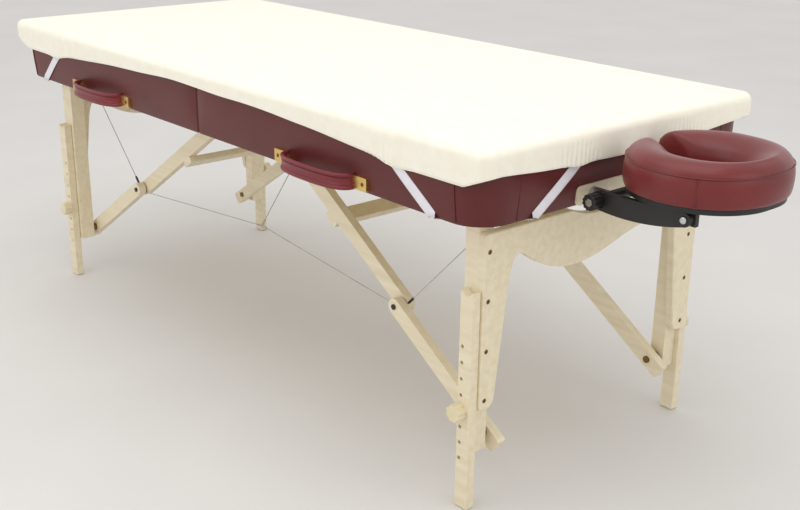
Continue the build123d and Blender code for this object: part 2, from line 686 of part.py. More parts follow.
# --- Face cradle: arms, board, tilt plate and pad ----------------------------------------------------
with BuildPart() as cradle_arms:
    arm_middle_x = (yoke_x + arm_end_x) / 2
    arm_middle_z = (rod_z - arm_root_radius + arm_end_z - arm_tip_radius) / 2 - arm_belly
    with BuildSketch(Plane.XZ.offset(arm_inner_y)):
        with BuildLine():
            Polyline((yoke_x, rod_z - arm_root_radius), (yoke_x, rod_z + arm_root_radius),
                     (arm_end_x, arm_end_z + arm_tip_radius), (arm_end_x, arm_end_z - arm_tip_radius))
            ThreePointArc((arm_end_x, arm_end_z - arm_tip_radius), (arm_middle_x, arm_middle_z),
                          (yoke_x, rod_z - arm_root_radius))
        make_face()
        with Locations((yoke_x, rod_z)):
            Circle(arm_root_radius)
            Circle(yoke_stub_radius + running_clearance, mode=Mode.SUBTRACT)
        with Locations((arm_end_x, arm_end_z)):
            Circle(arm_tip_radius)
    extrude(amount=arm_thickness)
    rod_along_y(arm_end_x, arm_end_z, -arm_outer_y, -ear_outer_y + cradle_ear_thickness, bolt_radius)
    rod_along_y(arm_end_x, arm_end_z, -arm_outer_y - arm_cap_height, -arm_outer_y, arm_cap_radius)
    mirror(about=Plane.XZ)
save(cradle_arms.part, "cradle_arms")


def horseshoe(outer_inset, hole_inset):
    """Plan of the cradle: an oval ring, open towards the table."""
    with Locations((cradle_pad_x, 0)):
        RectangleRounded(cradle_pad_length - 2 * outer_inset, cradle_pad_width - 2 * outer_inset,
                         cradle_pad_corner - outer_inset)
        Ellipse(face_hole_length / 2 + hole_inset, face_hole_width / 2 + hole_inset, mode=Mode.SUBTRACT)
    with Locations((cradle_pad_x - cradle_pad_length / 2, 0)):
        Rectangle(cradle_pad_length, face_gap_width + 2 * hole_inset, mode=Mode.SUBTRACT)


with BuildPart() as cradle_pad:
    with BuildSketch(Plane.XY.offset(cradle_pad_bottom)):
        horseshoe(0, 0)
    extrude(amount=cradle_pad_thickness)
    fillet(top_edges(), cradle_pad_edge)
save(cradle_pad.part, "cradle_pad")

board_bottom = cradle_pad_bottom - cradle_board_thickness
with BuildPart() as cradle_board:
    with BuildSketch(Plane.XY.offset(board_bottom)):
        horseshoe(cradle_board_inset, cradle_board_inset)
    extrude(amount=cradle_board_thickness)
    for side in (-1, 1):
        with Locations((arm_end_x, side * (ear_outer_y - cradle_ear_thickness / 2), board_bottom)):
            Box(cradle_ear_length, cradle_ear_thickness, cradle_ear_depth,
                align=(Align.CENTER, Align.CENTER, Align.MAX))
    rod_along_y(arm_end_x, arm_end_z, -ear_outer_y, ear_outer_y, hole_radius, Mode.SUBTRACT)
save(cradle_board.part, "cradle_board")

with BuildPart() as cradle_tilt_plate:
    with BuildSketch(Plane.XY.offset(board_bottom)):
        horseshoe(tilt_plate_inset, tilt_plate_hole_inset)
    extrude(amount=-tilt_plate_thickness)
save(cradle_tilt_plate.part, "cradle_tilt_plate")
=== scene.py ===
# %% [markdown]
# # A portable massage table
# The frame is the CAD model of a folding massage table: wooden rails, legs, braces and a face cradle.
# This file dresses it. The soft parts are made here as their own meshes, every surface gets a procedural
# material, and each piece is told which part of the table it moves with.

# %% Load the fixed frame
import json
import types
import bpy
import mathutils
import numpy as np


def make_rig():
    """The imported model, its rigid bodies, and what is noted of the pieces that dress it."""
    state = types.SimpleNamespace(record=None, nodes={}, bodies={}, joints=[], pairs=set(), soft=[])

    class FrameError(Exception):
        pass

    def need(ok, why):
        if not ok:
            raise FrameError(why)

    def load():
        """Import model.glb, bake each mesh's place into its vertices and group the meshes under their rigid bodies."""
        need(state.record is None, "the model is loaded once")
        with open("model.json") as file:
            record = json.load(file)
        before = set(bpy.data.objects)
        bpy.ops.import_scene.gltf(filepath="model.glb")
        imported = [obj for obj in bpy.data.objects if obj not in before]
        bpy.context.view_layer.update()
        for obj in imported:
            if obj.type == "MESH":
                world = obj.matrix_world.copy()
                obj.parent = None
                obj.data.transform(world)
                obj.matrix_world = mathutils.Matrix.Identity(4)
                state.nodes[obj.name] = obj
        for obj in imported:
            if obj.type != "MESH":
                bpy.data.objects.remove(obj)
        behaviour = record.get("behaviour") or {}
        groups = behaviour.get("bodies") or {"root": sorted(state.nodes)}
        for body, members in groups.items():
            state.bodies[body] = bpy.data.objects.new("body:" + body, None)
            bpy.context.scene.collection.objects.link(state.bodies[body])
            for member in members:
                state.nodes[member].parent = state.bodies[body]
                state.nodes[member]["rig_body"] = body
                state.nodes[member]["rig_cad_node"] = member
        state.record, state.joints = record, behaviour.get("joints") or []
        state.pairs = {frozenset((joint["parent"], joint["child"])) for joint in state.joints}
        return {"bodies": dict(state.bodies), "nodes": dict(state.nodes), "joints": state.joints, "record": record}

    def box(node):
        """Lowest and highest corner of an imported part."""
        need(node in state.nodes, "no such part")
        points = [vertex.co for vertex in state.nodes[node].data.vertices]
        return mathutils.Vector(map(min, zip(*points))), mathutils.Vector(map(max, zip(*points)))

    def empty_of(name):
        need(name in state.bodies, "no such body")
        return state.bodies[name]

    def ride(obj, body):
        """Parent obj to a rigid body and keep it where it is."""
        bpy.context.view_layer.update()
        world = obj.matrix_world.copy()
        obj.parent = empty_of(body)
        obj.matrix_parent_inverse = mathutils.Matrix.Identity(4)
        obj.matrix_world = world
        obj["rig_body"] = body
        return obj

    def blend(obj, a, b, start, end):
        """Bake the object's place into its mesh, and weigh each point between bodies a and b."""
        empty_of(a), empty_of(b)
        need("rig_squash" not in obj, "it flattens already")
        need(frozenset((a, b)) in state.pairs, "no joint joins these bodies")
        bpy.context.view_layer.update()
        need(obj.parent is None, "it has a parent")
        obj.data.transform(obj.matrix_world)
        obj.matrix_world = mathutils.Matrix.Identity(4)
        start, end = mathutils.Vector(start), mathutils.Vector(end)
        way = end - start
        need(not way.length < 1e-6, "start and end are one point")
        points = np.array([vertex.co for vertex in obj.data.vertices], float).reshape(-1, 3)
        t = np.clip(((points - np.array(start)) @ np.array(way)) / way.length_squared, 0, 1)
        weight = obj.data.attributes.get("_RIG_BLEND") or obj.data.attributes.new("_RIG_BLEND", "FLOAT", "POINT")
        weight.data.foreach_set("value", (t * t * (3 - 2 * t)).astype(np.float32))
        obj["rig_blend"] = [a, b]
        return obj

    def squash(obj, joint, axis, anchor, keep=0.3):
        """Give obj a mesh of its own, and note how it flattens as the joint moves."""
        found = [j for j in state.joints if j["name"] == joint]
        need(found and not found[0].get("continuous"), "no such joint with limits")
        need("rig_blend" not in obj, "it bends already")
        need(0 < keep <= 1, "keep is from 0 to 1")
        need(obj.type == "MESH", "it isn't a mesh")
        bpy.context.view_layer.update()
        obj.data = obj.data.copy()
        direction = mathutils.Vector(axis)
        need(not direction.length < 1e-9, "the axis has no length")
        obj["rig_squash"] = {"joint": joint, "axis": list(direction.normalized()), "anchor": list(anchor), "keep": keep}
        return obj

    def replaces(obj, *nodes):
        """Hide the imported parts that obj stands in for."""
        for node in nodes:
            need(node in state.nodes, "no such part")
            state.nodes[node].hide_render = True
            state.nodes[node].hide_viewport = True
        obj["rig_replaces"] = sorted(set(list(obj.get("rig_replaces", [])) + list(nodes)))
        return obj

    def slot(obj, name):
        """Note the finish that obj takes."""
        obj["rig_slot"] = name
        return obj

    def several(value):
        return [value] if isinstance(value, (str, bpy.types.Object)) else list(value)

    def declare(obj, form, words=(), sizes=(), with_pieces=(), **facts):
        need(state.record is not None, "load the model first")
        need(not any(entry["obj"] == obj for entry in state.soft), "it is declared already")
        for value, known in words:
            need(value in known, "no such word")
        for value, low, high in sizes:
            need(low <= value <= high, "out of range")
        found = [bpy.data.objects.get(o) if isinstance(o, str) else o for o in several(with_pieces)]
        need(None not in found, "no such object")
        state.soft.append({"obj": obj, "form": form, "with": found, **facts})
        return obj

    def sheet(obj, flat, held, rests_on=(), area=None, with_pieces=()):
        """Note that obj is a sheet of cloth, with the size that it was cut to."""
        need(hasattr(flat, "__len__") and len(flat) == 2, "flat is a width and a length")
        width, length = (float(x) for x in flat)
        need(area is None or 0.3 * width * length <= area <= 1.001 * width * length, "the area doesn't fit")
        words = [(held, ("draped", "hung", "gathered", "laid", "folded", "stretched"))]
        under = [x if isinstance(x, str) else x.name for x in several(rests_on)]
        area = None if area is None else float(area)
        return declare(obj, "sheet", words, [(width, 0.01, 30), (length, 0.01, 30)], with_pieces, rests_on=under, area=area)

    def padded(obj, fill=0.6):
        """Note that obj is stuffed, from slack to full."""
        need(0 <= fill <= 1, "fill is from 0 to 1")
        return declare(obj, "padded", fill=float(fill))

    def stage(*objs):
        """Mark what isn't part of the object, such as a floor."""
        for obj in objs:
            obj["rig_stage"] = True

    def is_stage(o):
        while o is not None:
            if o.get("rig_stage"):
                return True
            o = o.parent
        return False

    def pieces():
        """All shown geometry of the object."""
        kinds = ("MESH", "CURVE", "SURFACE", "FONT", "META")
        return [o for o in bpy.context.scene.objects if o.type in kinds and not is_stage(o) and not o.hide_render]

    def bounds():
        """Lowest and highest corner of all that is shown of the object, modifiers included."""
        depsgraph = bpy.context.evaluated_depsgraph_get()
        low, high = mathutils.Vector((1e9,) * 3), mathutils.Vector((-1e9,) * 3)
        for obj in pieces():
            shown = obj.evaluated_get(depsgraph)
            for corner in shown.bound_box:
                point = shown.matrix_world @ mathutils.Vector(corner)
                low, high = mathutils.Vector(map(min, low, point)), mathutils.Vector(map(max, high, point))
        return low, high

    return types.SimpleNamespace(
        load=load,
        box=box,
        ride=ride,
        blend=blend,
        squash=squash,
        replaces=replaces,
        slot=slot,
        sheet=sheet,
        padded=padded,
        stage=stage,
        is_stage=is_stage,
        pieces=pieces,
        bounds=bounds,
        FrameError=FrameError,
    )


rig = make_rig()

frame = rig.load()
cad_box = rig.bounds()
print("frame of", len(frame["nodes"]), "nodes on", len(frame["bodies"]), "bodies")

import json
import math

import bmesh
import bpy
import numpy as np
from mathutils import Matrix, Vector, noise

# %% [markdown]
# ## The camera
# The view is a product view: the camera stands near the head end at shoulder height and looks down the
# table. A camera looks along its own -Z, so it is tipped up from straight down, and then turned about Z.

# %% Camera
camera_place = Vector((2.0856, -1.7159, 1.2436))
camera_heading = math.radians(48.85)
camera_pitch = math.radians(19.9)
camera_roll = math.radians(0.71)

camera = bpy.data.objects.new("camera", bpy.data.cameras.new("camera"))
bpy.context.scene.collection.objects.link(camera)
camera.data.lens, camera.data.sensor_width = 51.65, 36      # millimetres
camera.matrix_world = (Matrix.Translation(camera_place) @ Matrix.Rotation(camera_heading, 4, "Z")
                       @ Matrix.Rotation(math.pi / 2 - camera_pitch, 4, "X")
                       @ Matrix.Rotation(camera_roll, 4, "Z"))
bpy.context.scene.camera = camera
print("camera height", round(camera_place.z, 3))

# %% [markdown]
# ## Places to build from
# Everything soft is fitted to the CAD boxes, so the few places that the pieces share are read once here:
# the line of the hinge, the middle of the table, and the size of the padded top.

# %% Shared places
foam_low, foam_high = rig.box("head_foam_pad")
cover_low, cover_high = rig.box("head_vinyl_cover")
sheet_low, sheet_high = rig.box("head_sheet")
hinge_x = (foam_low.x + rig.box("foot_foam_pad")[1].x) / 2
middle_y = (foam_low.y + foam_high.y) / 2
half_length = cover_high.x - hinge_x
half_width = (cover_high.y - cover_low.y) / 2
underside = cover_low.z
pad_top = cover_high.z
ways = {"head": 1, "foot": -1}      # which way along X each half lies from the hinge
print("half table", round(half_length, 4), "x", round(2 * half_width, 4), "pad top", round(pad_top, 4))

# %% [markdown]
# ## Small helpers
# Colours are written as the hex values that a paint chart gives, and turned into linear light by one
# function. One short function adds a node. Patterns are sized in millimetres: a texture's scale says how
# many of its features fit in a metre, so it is a thousand over the size of one.

# %% Colour and node helpers
def colour(code):
    """A hex colour, such as "#8b4a48", as linear red, green, blue and alpha."""
    parts = [int(code[i:i + 2], 16) / 255 for i in (1, 3, 5)]
    return tuple(c / 12.92 if c <= 0.04045 else ((c + 0.055) / 1.055) ** 2.4 for c in parts) + (1.0,)


def add(tree, kind, values=None, **settings):
    """Add a node, give its settings, and fill its inputs with values or links."""
    node = tree.nodes.new(kind)
    for key, value in settings.items():
        setattr(node, key, value)
    for key, value in (values or {}).items():
        if isinstance(value, bpy.types.NodeSocket):
            tree.links.new(value, node.inputs[key])
        else:
            node.inputs[key].default_value = value
    return node


def start_material(name, base, roughness, **values):
    """A new material with its shader's plain values set. Returns the material, its tree and shader."""
    material = bpy.data.materials.new(name)
    material.use_nodes = True
    material.diffuse_color = colour(base)
    shader = material.node_tree.nodes["Principled BSDF"]
    shader.inputs["Base Color"].default_value = colour(base)
    shader.inputs["Roughness"].default_value = roughness
    for key, value in values.items():
        shader.inputs[key.replace("_", " ")].default_value = value
    return material, material.node_tree, shader


def per_metre(size_mm):
    """The scale of a noise or cell texture whose features have this size."""
    return 1000 / size_mm


def wave_scale(spacing_mm):
    """The scale of a wave texture, whose waves lie 2 pi / 20 apart at scale 1."""
    return 2 * math.pi / 20 * per_metre(spacing_mm)


def place_pattern(tree, scale=(1, 1, 1), turn=(0, 0, 0)):
    """The object's own coordinates, turned and stretched for a pattern."""
    where = add(tree, "ShaderNodeTexCoord").outputs["Object"]
    return add(tree, "ShaderNodeMapping", {"Vector": where, "Rotation": turn, "Scale": scale}).outputs[0]


def tint(tree, factor, dark, light, low=0.3, high=0.7):
    """A colour that runs from dark to light as the factor does."""
    ramp = add(tree, "ShaderNodeValToRGB", {"Fac": factor})
    ramp.color_ramp.elements[0].position = low
    ramp.color_ramp.elements[1].position = high
    ramp.color_ramp.elements[0].color = colour(dark)
    ramp.color_ramp.elements[1].color = colour(light)
    return ramp.outputs["Color"]


def spread(tree, factor, low, high):
    """A number that runs from low to high as the factor runs from 0 to 1."""
    return add(tree, "ShaderNodeMapRange", {"Value": factor, "To Min": low, "To Max": high}).outputs[0]


def bump(tree, shader, height, depth, strength=1.0):
    """Let a height shade the surface as if it stood up by a depth in metres."""
    normal = add(tree, "ShaderNodeBump", {"Height": height, "Distance": depth, "Strength": strength})
    tree.links.new(normal.outputs[0], shader.inputs["Normal"])


# %% [markdown]
# ## Mesh helpers
# Every piece is made from points and faces in place, so its object stays at the origin and a pattern on it
# doesn't slide. Merging doubled points comes before its faces are turned outwards, because only a closed
# shell has an outside.

# %% Mesh helpers
def make_piece(name, vertices, faces, materials, smooth=True):
    """A mesh object at the origin, with its place in its mesh."""
    mesh = bpy.data.meshes.new(name)
    mesh.from_pydata([tuple(v) for v in vertices], [], faces)
    for material in materials:
        mesh.materials.append(material)
    mesh.shade_smooth() if smooth else mesh.shade_flat()
    piece = bpy.data.objects.new(name, mesh)
    bpy.context.scene.collection.objects.link(piece)
    return piece


def bake(piece):
    """Turn the piece with its modifiers into a plain mesh."""
    bpy.context.view_layer.update()
    result = bpy.data.meshes.new_from_object(piece.evaluated_get(bpy.context.evaluated_depsgraph_get()))
    piece.modifiers.clear()
    piece.data = result
    return piece


def face_outwards(piece, merge=0.00001):
    """Merge doubled points, and turn every face of a closed piece outwards."""
    mesh = bmesh.new()
    mesh.from_mesh(piece.data)
    bmesh.ops.remove_doubles(mesh, verts=mesh.verts, dist=merge)
    bmesh.ops.recalc_face_normals(mesh, faces=mesh.faces)
    mesh.to_mesh(piece.data)
    mesh.free()
    return piece


def join_meshes(name, pieces):
    """One object from several, with all their materials."""
    bpy.ops.object.select_all(action="DESELECT")
    for piece in pieces:
        piece.select_set(True)
    bpy.context.view_layer.objects.active = pieces[0]
    bpy.ops.object.join()
    pieces[0].name = name
    pieces[0].data.name = name
    return pieces[0]


# %% [markdown]
# ## Materials: wood
# The frame is pale maple under a satin lacquer. Its grain runs along each stick, so one function makes
# the wood and is told which way the stick lies. Long stretched noise gives the bands, and finer noise
# the pores. The braces lean, so their pattern is turned by the same angle.

# %% Wood
brace_lean = math.radians(33.1)
band_long, band_wide = per_metre(625), per_metre(14.3)
pore_long, pore_wide = per_metre(40), per_metre(1.11)     # real pores are finer than the view can show


def wood(name, turn, base="#e6dabd", dark="#dfd1b0", light="#ebe0c6"):
    """Satin lacquer over maple: a soft highlight over a pale, quiet grain."""
    material, tree, shader = start_material(name, base, 0.42, Coat_Weight=0.25, Coat_Roughness=0.3)
    along = place_pattern(tree, scale=(band_long, band_wide, band_wide), turn=turn)
    bands = add(tree, "ShaderNodeTexNoise",
                {"Vector": along, "Scale": 1.0, "Detail": 3.0, "Distortion": 0.15})
    fine = place_pattern(tree, scale=(pore_long, pore_wide, pore_wide), turn=turn)
    pores = add(tree, "ShaderNodeTexNoise", {"Vector": fine, "Scale": 1.0, "Detail": 2.0})
    mixed = add(tree, "ShaderNodeMath", {0: bands.outputs[0], 1: 0.75}, operation="MULTIPLY")
    both = add(tree, "ShaderNodeMath", {0: pores.outputs[0], 1: 0.25, 2: mixed.outputs[0]},
               operation="MULTIPLY_ADD")
    tree.links.new(tint(tree, both.outputs[0], dark, light, 0.32, 0.66), shader.inputs["Base Color"])
    tree.links.new(spread(tree, pores.outputs[0], 0.34, 0.52), shader.inputs["Roughness"])
    bump(tree, shader, both.outputs[0], 0.0003, 0.18)
    return material


wood_along_x = wood("maple_along_x", (0, 0, 0))
wood_along_y = wood("maple_along_y", (0, 0, math.pi / 2))
wood_along_z = wood("maple_along_z", (0, math.pi / 2, 0))
wood_head_brace = wood("maple_head_brace", (0, -brace_lean, 0))
wood_foot_brace = wood("maple_foot_brace", (0, brace_lean, 0))
plywood = wood("deck_plywood", (0, 0, 0), "#cdb98f", "#bca67a", "#d8c69e")   # a darker, raw look
print("grain bands", round(1000 / band_wide, 1), "mm wide")

# %% [markdown]
# ## Materials: vinyl
# The covers are soft burgundy vinyl with a fine pressed grain. Small cells give the grain, a slow noise
# shifts the tone a little, and the gloss is low and broad, as on a wiped-down treatment couch. The table's
# copy is made darker, as painted shade, and the cradle's copy lighter, as painted light from above.

# %% Vinyl
def vinyl(name, dark, light, roughness):
    """Pressed vinyl: broad low gloss broken up by its grain, drawn twice as coarse as real to show."""
    material, tree, shader = start_material(name, light, roughness, Coat_Weight=0.16, Coat_Roughness=0.3)
    shader.inputs["Specular IOR Level"].default_value = 0.35
    shader.inputs["Sheen Weight"].default_value = 0.03
    where = place_pattern(tree)
    cells = add(tree, "ShaderNodeTexVoronoi", {"Vector": where, "Scale": per_metre(1.613)})
    slow = add(tree, "ShaderNodeTexNoise", {"Vector": where, "Scale": per_metre(111), "Detail": 3.0})
    soft = add(tree, "ShaderNodeTexNoise", {"Vector": where, "Scale": per_metre(3.85), "Detail": 2.0})
    tree.links.new(tint(tree, slow.outputs[0], dark, light), shader.inputs["Base Color"])
    tree.links.new(spread(tree, soft.outputs[0], roughness - 0.07, roughness + 0.1),
                   shader.inputs["Roughness"])
    height = add(tree, "ShaderNodeMath", {0: cells.outputs["Distance"], 1: soft.outputs[0]},
                 operation="ADD")
    bump(tree, shader, height.outputs[0], 0.0004, 0.3)
    return material


# One vinyl in two copies: darker on the table as painted shade under the skirt, lighter on the cradle as painted light.
table_vinyl = vinyl("table_vinyl", "#541412", "#5e1a17", 0.40)
cradle_vinyl = vinyl("cradle_vinyl", "#6a1f20", "#762627", 0.34)
handle_vinyl = vinyl("handle_vinyl", "#742028", "#80282e", 0.34)
print("vinyl made for the table, the cradle and the handles")

# %% [markdown]
# ## Materials: cloth
# The fitted sheet is brushed cotton and the straps are woven elastic. Two crossed waves make a weave:
# where one thread is up the other is down. Brushed cotton also scatters light at its edge, which is what
# sheen is for.

# %% Cloth
def cloth(name, dark, light, thread_mm, depth, sheen):
    """Matt woven threads. Real ones lie about 0.3 mm apart, too fine to show, so the weave is drawn
    coarser."""
    material, tree, shader = start_material(name, light, 0.92, Sheen_Weight=sheen, Sheen_Roughness=0.5)
    shader.inputs["Specular IOR Level"].default_value = 0.2
    where, threads = place_pattern(tree), wave_scale(thread_mm)
    warp = add(tree, "ShaderNodeTexWave", {"Vector": where, "Scale": threads}, bands_direction="X")
    weft = add(tree, "ShaderNodeTexWave", {"Vector": where, "Scale": threads}, bands_direction="Y")
    rise = add(tree, "ShaderNodeTexWave", {"Vector": where, "Scale": threads}, bands_direction="Z")
    two = add(tree, "ShaderNodeMath", {0: warp.outputs["Fac"], 1: weft.outputs["Fac"]},
              operation="MAXIMUM")
    weave = add(tree, "ShaderNodeMath", {0: two.outputs[0], 1: rise.outputs["Fac"]}, operation="ADD")
    fluff = add(tree, "ShaderNodeTexNoise", {"Vector": where, "Scale": per_metre(22.2), "Detail": 4.0})
    tree.links.new(tint(tree, fluff.outputs[0], dark, light, 0.2, 0.75), shader.inputs["Base Color"])
    height = add(tree, "ShaderNodeMath", {0: weave.outputs[0], 1: fluff.outputs[0]}, operation="ADD")
    bump(tree, shader, height.outputs[0], depth, 0.4)
    return material


sheet_cotton = cloth("sheet_cotton", "#f6f0de", "#fbf7ea", 1.428, 0.0003, 0.35)
strap_elastic = cloth("strap_elastic", "#e2dfe6", "#efedf3", 1.2083, 0.0004, 0.1)
thread_dark = cloth("thread_burgundy", "#5c2026", "#6c2a30", 0.5236, 0.0001, 0.0)
thread_cream = cloth("thread_cream", "#efe7cf", "#f6f0de", 0.5236, 0.0001, 0.0)
print("cloth made for the sheet, the straps and the thread")

# %% [markdown]
# ## Materials: metal and plastic
# Brass plates, nickel, aluminium and moulded plastic. Each gets faint scratches or moulding texture in
# its roughness, which is what tells a real metal from a flat grey. Painted steel and coated wire show
# their paint and coat, not metal, so they are made as plastic is.

# %% Metal and plastic
worn_mm, brushed_mm = (2.778, 2.778, 2.778), (8.333, 0.833, 0.833)     # brushing leaves long marks


def metal(name, dark, light, roughness, mark_mm=worn_mm):
    """A metal whose gloss changes in small marks."""
    scratches = [per_metre(size) for size in mark_mm]
    material, tree, shader = start_material(name, light, roughness, Metallic=1.0)
    wear = add(tree, "ShaderNodeTexNoise", {"Vector": place_pattern(tree, scratches), "Scale": 1.0,
                                           "Detail": 6.0, "Roughness": 0.65})
    tree.links.new(tint(tree, wear.outputs[0], dark, light), shader.inputs["Base Color"])
    tree.links.new(spread(tree, wear.outputs[0], roughness - 0.08, roughness + 0.14),
                   shader.inputs["Roughness"])
    bump(tree, shader, wear.outputs[0], 0.0001, 0.2)
    return material


def plastic(name, dark, light, roughness):
    """A moulded or painted skin: even colour, a fine spark-eroded grain, and a soft highlight."""
    material, tree, shader = start_material(name, light, roughness)
    where = place_pattern(tree)
    grain = add(tree, "ShaderNodeTexNoise", {"Vector": where, "Scale": per_metre(1.4286), "Detail": 3.0})
    slow = add(tree, "ShaderNodeTexNoise", {"Vector": where, "Scale": per_metre(40), "Detail": 2.0})
    tree.links.new(tint(tree, slow.outputs[0], dark, light), shader.inputs["Base Color"])
    tree.links.new(spread(tree, slow.outputs[0], roughness - 0.06, roughness + 0.08),
                   shader.inputs["Roughness"])
    bump(tree, shader, grain.outputs[0], 0.0002, 0.3)
    return material


polished_brass = metal("polished_brass", "#d9b76a", "#f0d48e", 0.24)
aged_brass = metal("aged_brass", "#6d5432", "#9a7a48", 0.38)
coated_wire = plastic("coated_wire", "#a3a19c", "#bab8b3", 0.38)
nickel = metal("nickel", "#a9a7a0", "#c9c7c0", 0.3)
aluminium = metal("aluminium", "#a8adb4", "#c6cad0", 0.32, brushed_mm)
silver_rivet = metal("silver_rivet", "#b8b8b8", "#dedede", 0.28)
# Black paint on steel. The same black is also the painted shade in the screws' slots.
black_steel = plastic("black_steel", "#141414", "#1e1e1e", 0.38)
black_plastic = plastic("black_plastic", "#171717", "#212121", 0.42)
cream_plastic = plastic("cream_plastic", "#ddd0ac", "#e8dcbc", 0.45)
print("materials so far", len(bpy.data.materials))

# %% [markdown]
# ## Finish the pieces that keep their shape
# Wood, bolts, knobs and the cradle's hard parts have the right shape already, so they only get their
# material. Every half has the same list, and the leaning braces and the cradle have their own.

# %% Materials of the hard pieces
cad_finish = {
    "side_rails": wood_along_x, "end_rail": wood_along_y, "hinge_rail": wood_along_y,
    "deck_panel": plywood, "hinge_leaf": nickel, "pivot_bolts": black_steel,
    "end_panel": wood_along_y, "leg_posts": wood_along_z,
    "extension_near": wood_along_z, "extension_far": wood_along_z,
    "knob_near": cream_plastic, "knob_far": cream_plastic,
    "brace_crossbar": wood_along_y, "knee_pins": black_steel,
}
single_finish = {
    "head_upper_braces": wood_head_brace, "head_lower_braces": wood_head_brace,
    "foot_upper_braces": wood_foot_brace, "foot_lower_braces": wood_foot_brace,
    "hinge_pin": nickel, "cradle_port_plate": wood_along_y, "cradle_rods": aluminium,
    "cradle_yoke": black_steel, "cradle_arms": black_plastic, "cradle_knob_near": black_plastic,
    "cradle_knob_far": black_plastic, "cradle_board": black_plastic, "cradle_tilt_plate": aluminium,
}
for half in ways:
    for node, material in cad_finish.items():
        single_finish[f"{half}_{node}"] = material
for node, material in single_finish.items():
    frame["nodes"][node].data.materials.clear()
    frame["nodes"][node].data.materials.append(material)
print("finished", len(single_finish), "CAD nodes")

# %% [markdown]
# ## Outlines and rings
# The padded halves, the sheet and their edges all have the same plan: a rectangle with rounded corners.
# Drawing that plan again and again, each time a little smaller or higher, gives rings, and faces between
# neighbouring rings give a closed shell. A profile is then only a list of how far in and how high.

# %% Rings of a rounded rectangle
def rounded_plan(low_x, high_x, half_y, low_radius, high_radius, inset, per_side=36, per_corner=10):
    """Points round a rounded rectangle, anticlockwise, drawn in by inset. Each has x, y and its outward
    direction."""
    points = []
    corners = [(high_x, -1, high_radius, -90), (high_x, 1, high_radius, 0),
               (low_x, 1, low_radius, 90), (low_x, -1, low_radius, 180)]
    arcs = []
    for x, side, radius, start in corners:
        radius_left = max(radius - inset, 0.0001)
        edge = x - inset if x == high_x else x + inset
        centre = Vector((edge - radius_left if x == high_x else edge + radius_left,
                         side * (max(half_y - inset, 0.0001) - radius_left)))
        outwards = [Vector((math.cos(a), math.sin(a))) for a in
                    (math.radians(start + 90 * k / per_corner) for k in range(per_corner + 1))]
        arcs.append([(centre + radius_left * outward, outward) for outward in outwards])
    for arc, following in zip(arcs, arcs[1:] + arcs[:1]):
        points += arc
        here, there = arc[-1], following[0]
        points += [(here[0].lerp(there[0], k / per_side), here[1]) for k in range(1, per_side)]
    return points


def ring_shell(rings, closed=True):
    """Vertices and faces of a shell through a list of rings with equal numbers of points."""
    count = len(rings[0])
    vertices = [point for ring in rings for point in ring]
    faces = [(low + k, low + (k + 1) % count, low + count + (k + 1) % count, low + count + k)
             for low in range(0, (len(rings) - 1) * count, count) for k in range(count)]
    if closed:
        faces.append(tuple(reversed(range(count))))
        faces.append(tuple((len(rings) - 1) * count + k for k in range(count)))
    return vertices, faces


# %% [markdown]
# ## The padded halves
# Each half is foam on a shallow wooden tray, wrapped in vinyl that is pulled down over the rails and
# stapled out of sight. Vinyl over foam never lies flat: the sides swell out a little, draw in where the
# foam meets the rail, and turn under softly at the bottom. The profile below says that, and slow noise
# adds the last small unevenness that hand upholstery has.

# %% Padded halves
swell_depth, swell_height = 0.0062, 0.128
slit_half = 0.0006                               # half of the slit between the two halves
slit_corner, end_corner = 0.0042, 0.070          # corner radii at the slit and at the table's end
turn_under, side_height = 0.006, 0.118
slit_reach = 0.045                               # over this length the swell dies away to the slit


def side_swell(z):
    """How far the vinyl stands proud of its box at a height."""
    share = min(max((z - underside - 0.001) / swell_height, 0.0), 1.0)
    return swell_depth * math.sin(math.pi * share ** 1.5) ** 0.75


def uneven(point, size, depth):
    """Slow noise at a point, from -depth to depth."""
    return depth * noise.noise(Vector(point) * size)


def padded_half(name, way):
    """One half as rings: under the foam, down inside the rails, round the lower edge and up to the top."""
    foam_bottom = foam_low.z + 0.0003
    profile = [(0.30, foam_bottom), (0.15, foam_bottom), (0.06, foam_bottom), (0.0021, foam_bottom),
               (0.0019, foam_bottom - 0.02), (0.0019, underside + 0.0005), (0.0012, underside)]
    profile += [(0.0035 * (1 - math.sin(a)), underside + turn_under * (1 - math.cos(a)))
                for a in (math.pi / 2 * k / 5 for k in range(2, 6))]
    profile += [(0.0, underside + turn_under + side_height * k / 22) for k in range(1, 23)]
    edge_start = profile[-1][1]
    edge_drop = pad_top - edge_start
    profile += [(edge_drop * (1 - math.cos(a)), edge_start + edge_drop * math.sin(a))
                for a in (math.pi / 2 * k / 8 for k in range(1, 9))]
    profile += [(inset, pad_top) for inset in (0.032, 0.06, 0.10, 0.16, 0.24, 0.32, half_width - 0.002)]
    rings = []
    for inset, z in profile:
        ring = []
        on_side = inset < 0.001 and z > underside + turn_under
        plan = rounded_plan(slit_half, half_length, half_width, slit_corner, end_corner, inset)
        for place, outward in plan:
            from_slit = min(max(place.x / slit_reach, 0.0), 1.0)
            if on_side and outward.x > -0.5:
                swell = side_swell(z) * from_slit * (2 - from_slit)
                lift = uneven((place.x, place.y, z), 14, 0.0007) * from_slit
                place = place + outward * (swell + lift)
            ring.append((hinge_x + way * place.x, middle_y + place.y, z))
        rings.append(ring)
    vertices, faces = ring_shell(rings)
    return face_outwards(make_piece(name, vertices, faces, [table_vinyl]))


halves = {half: padded_half(f"{half}_upholstery", way) for half, way in ways.items()}
print("upholstery faces", len(halves["head"].data.polygons))

# %% [markdown]
# ## Seams with stitches
# Vinyl is cut and sewn into a corner, so a seam runs down each side of it: a raised welt along a row of
# thread. A seam follows a path, so this is work for Geometry Nodes: the path becomes a thin rope, and the
# same path, cut into equal steps, carries one short stitch at each step. The stitches run along the middle
# of the rope. So they show on the handles, where the rope is thinner than the thread, and on the other
# seams the welt covers them.

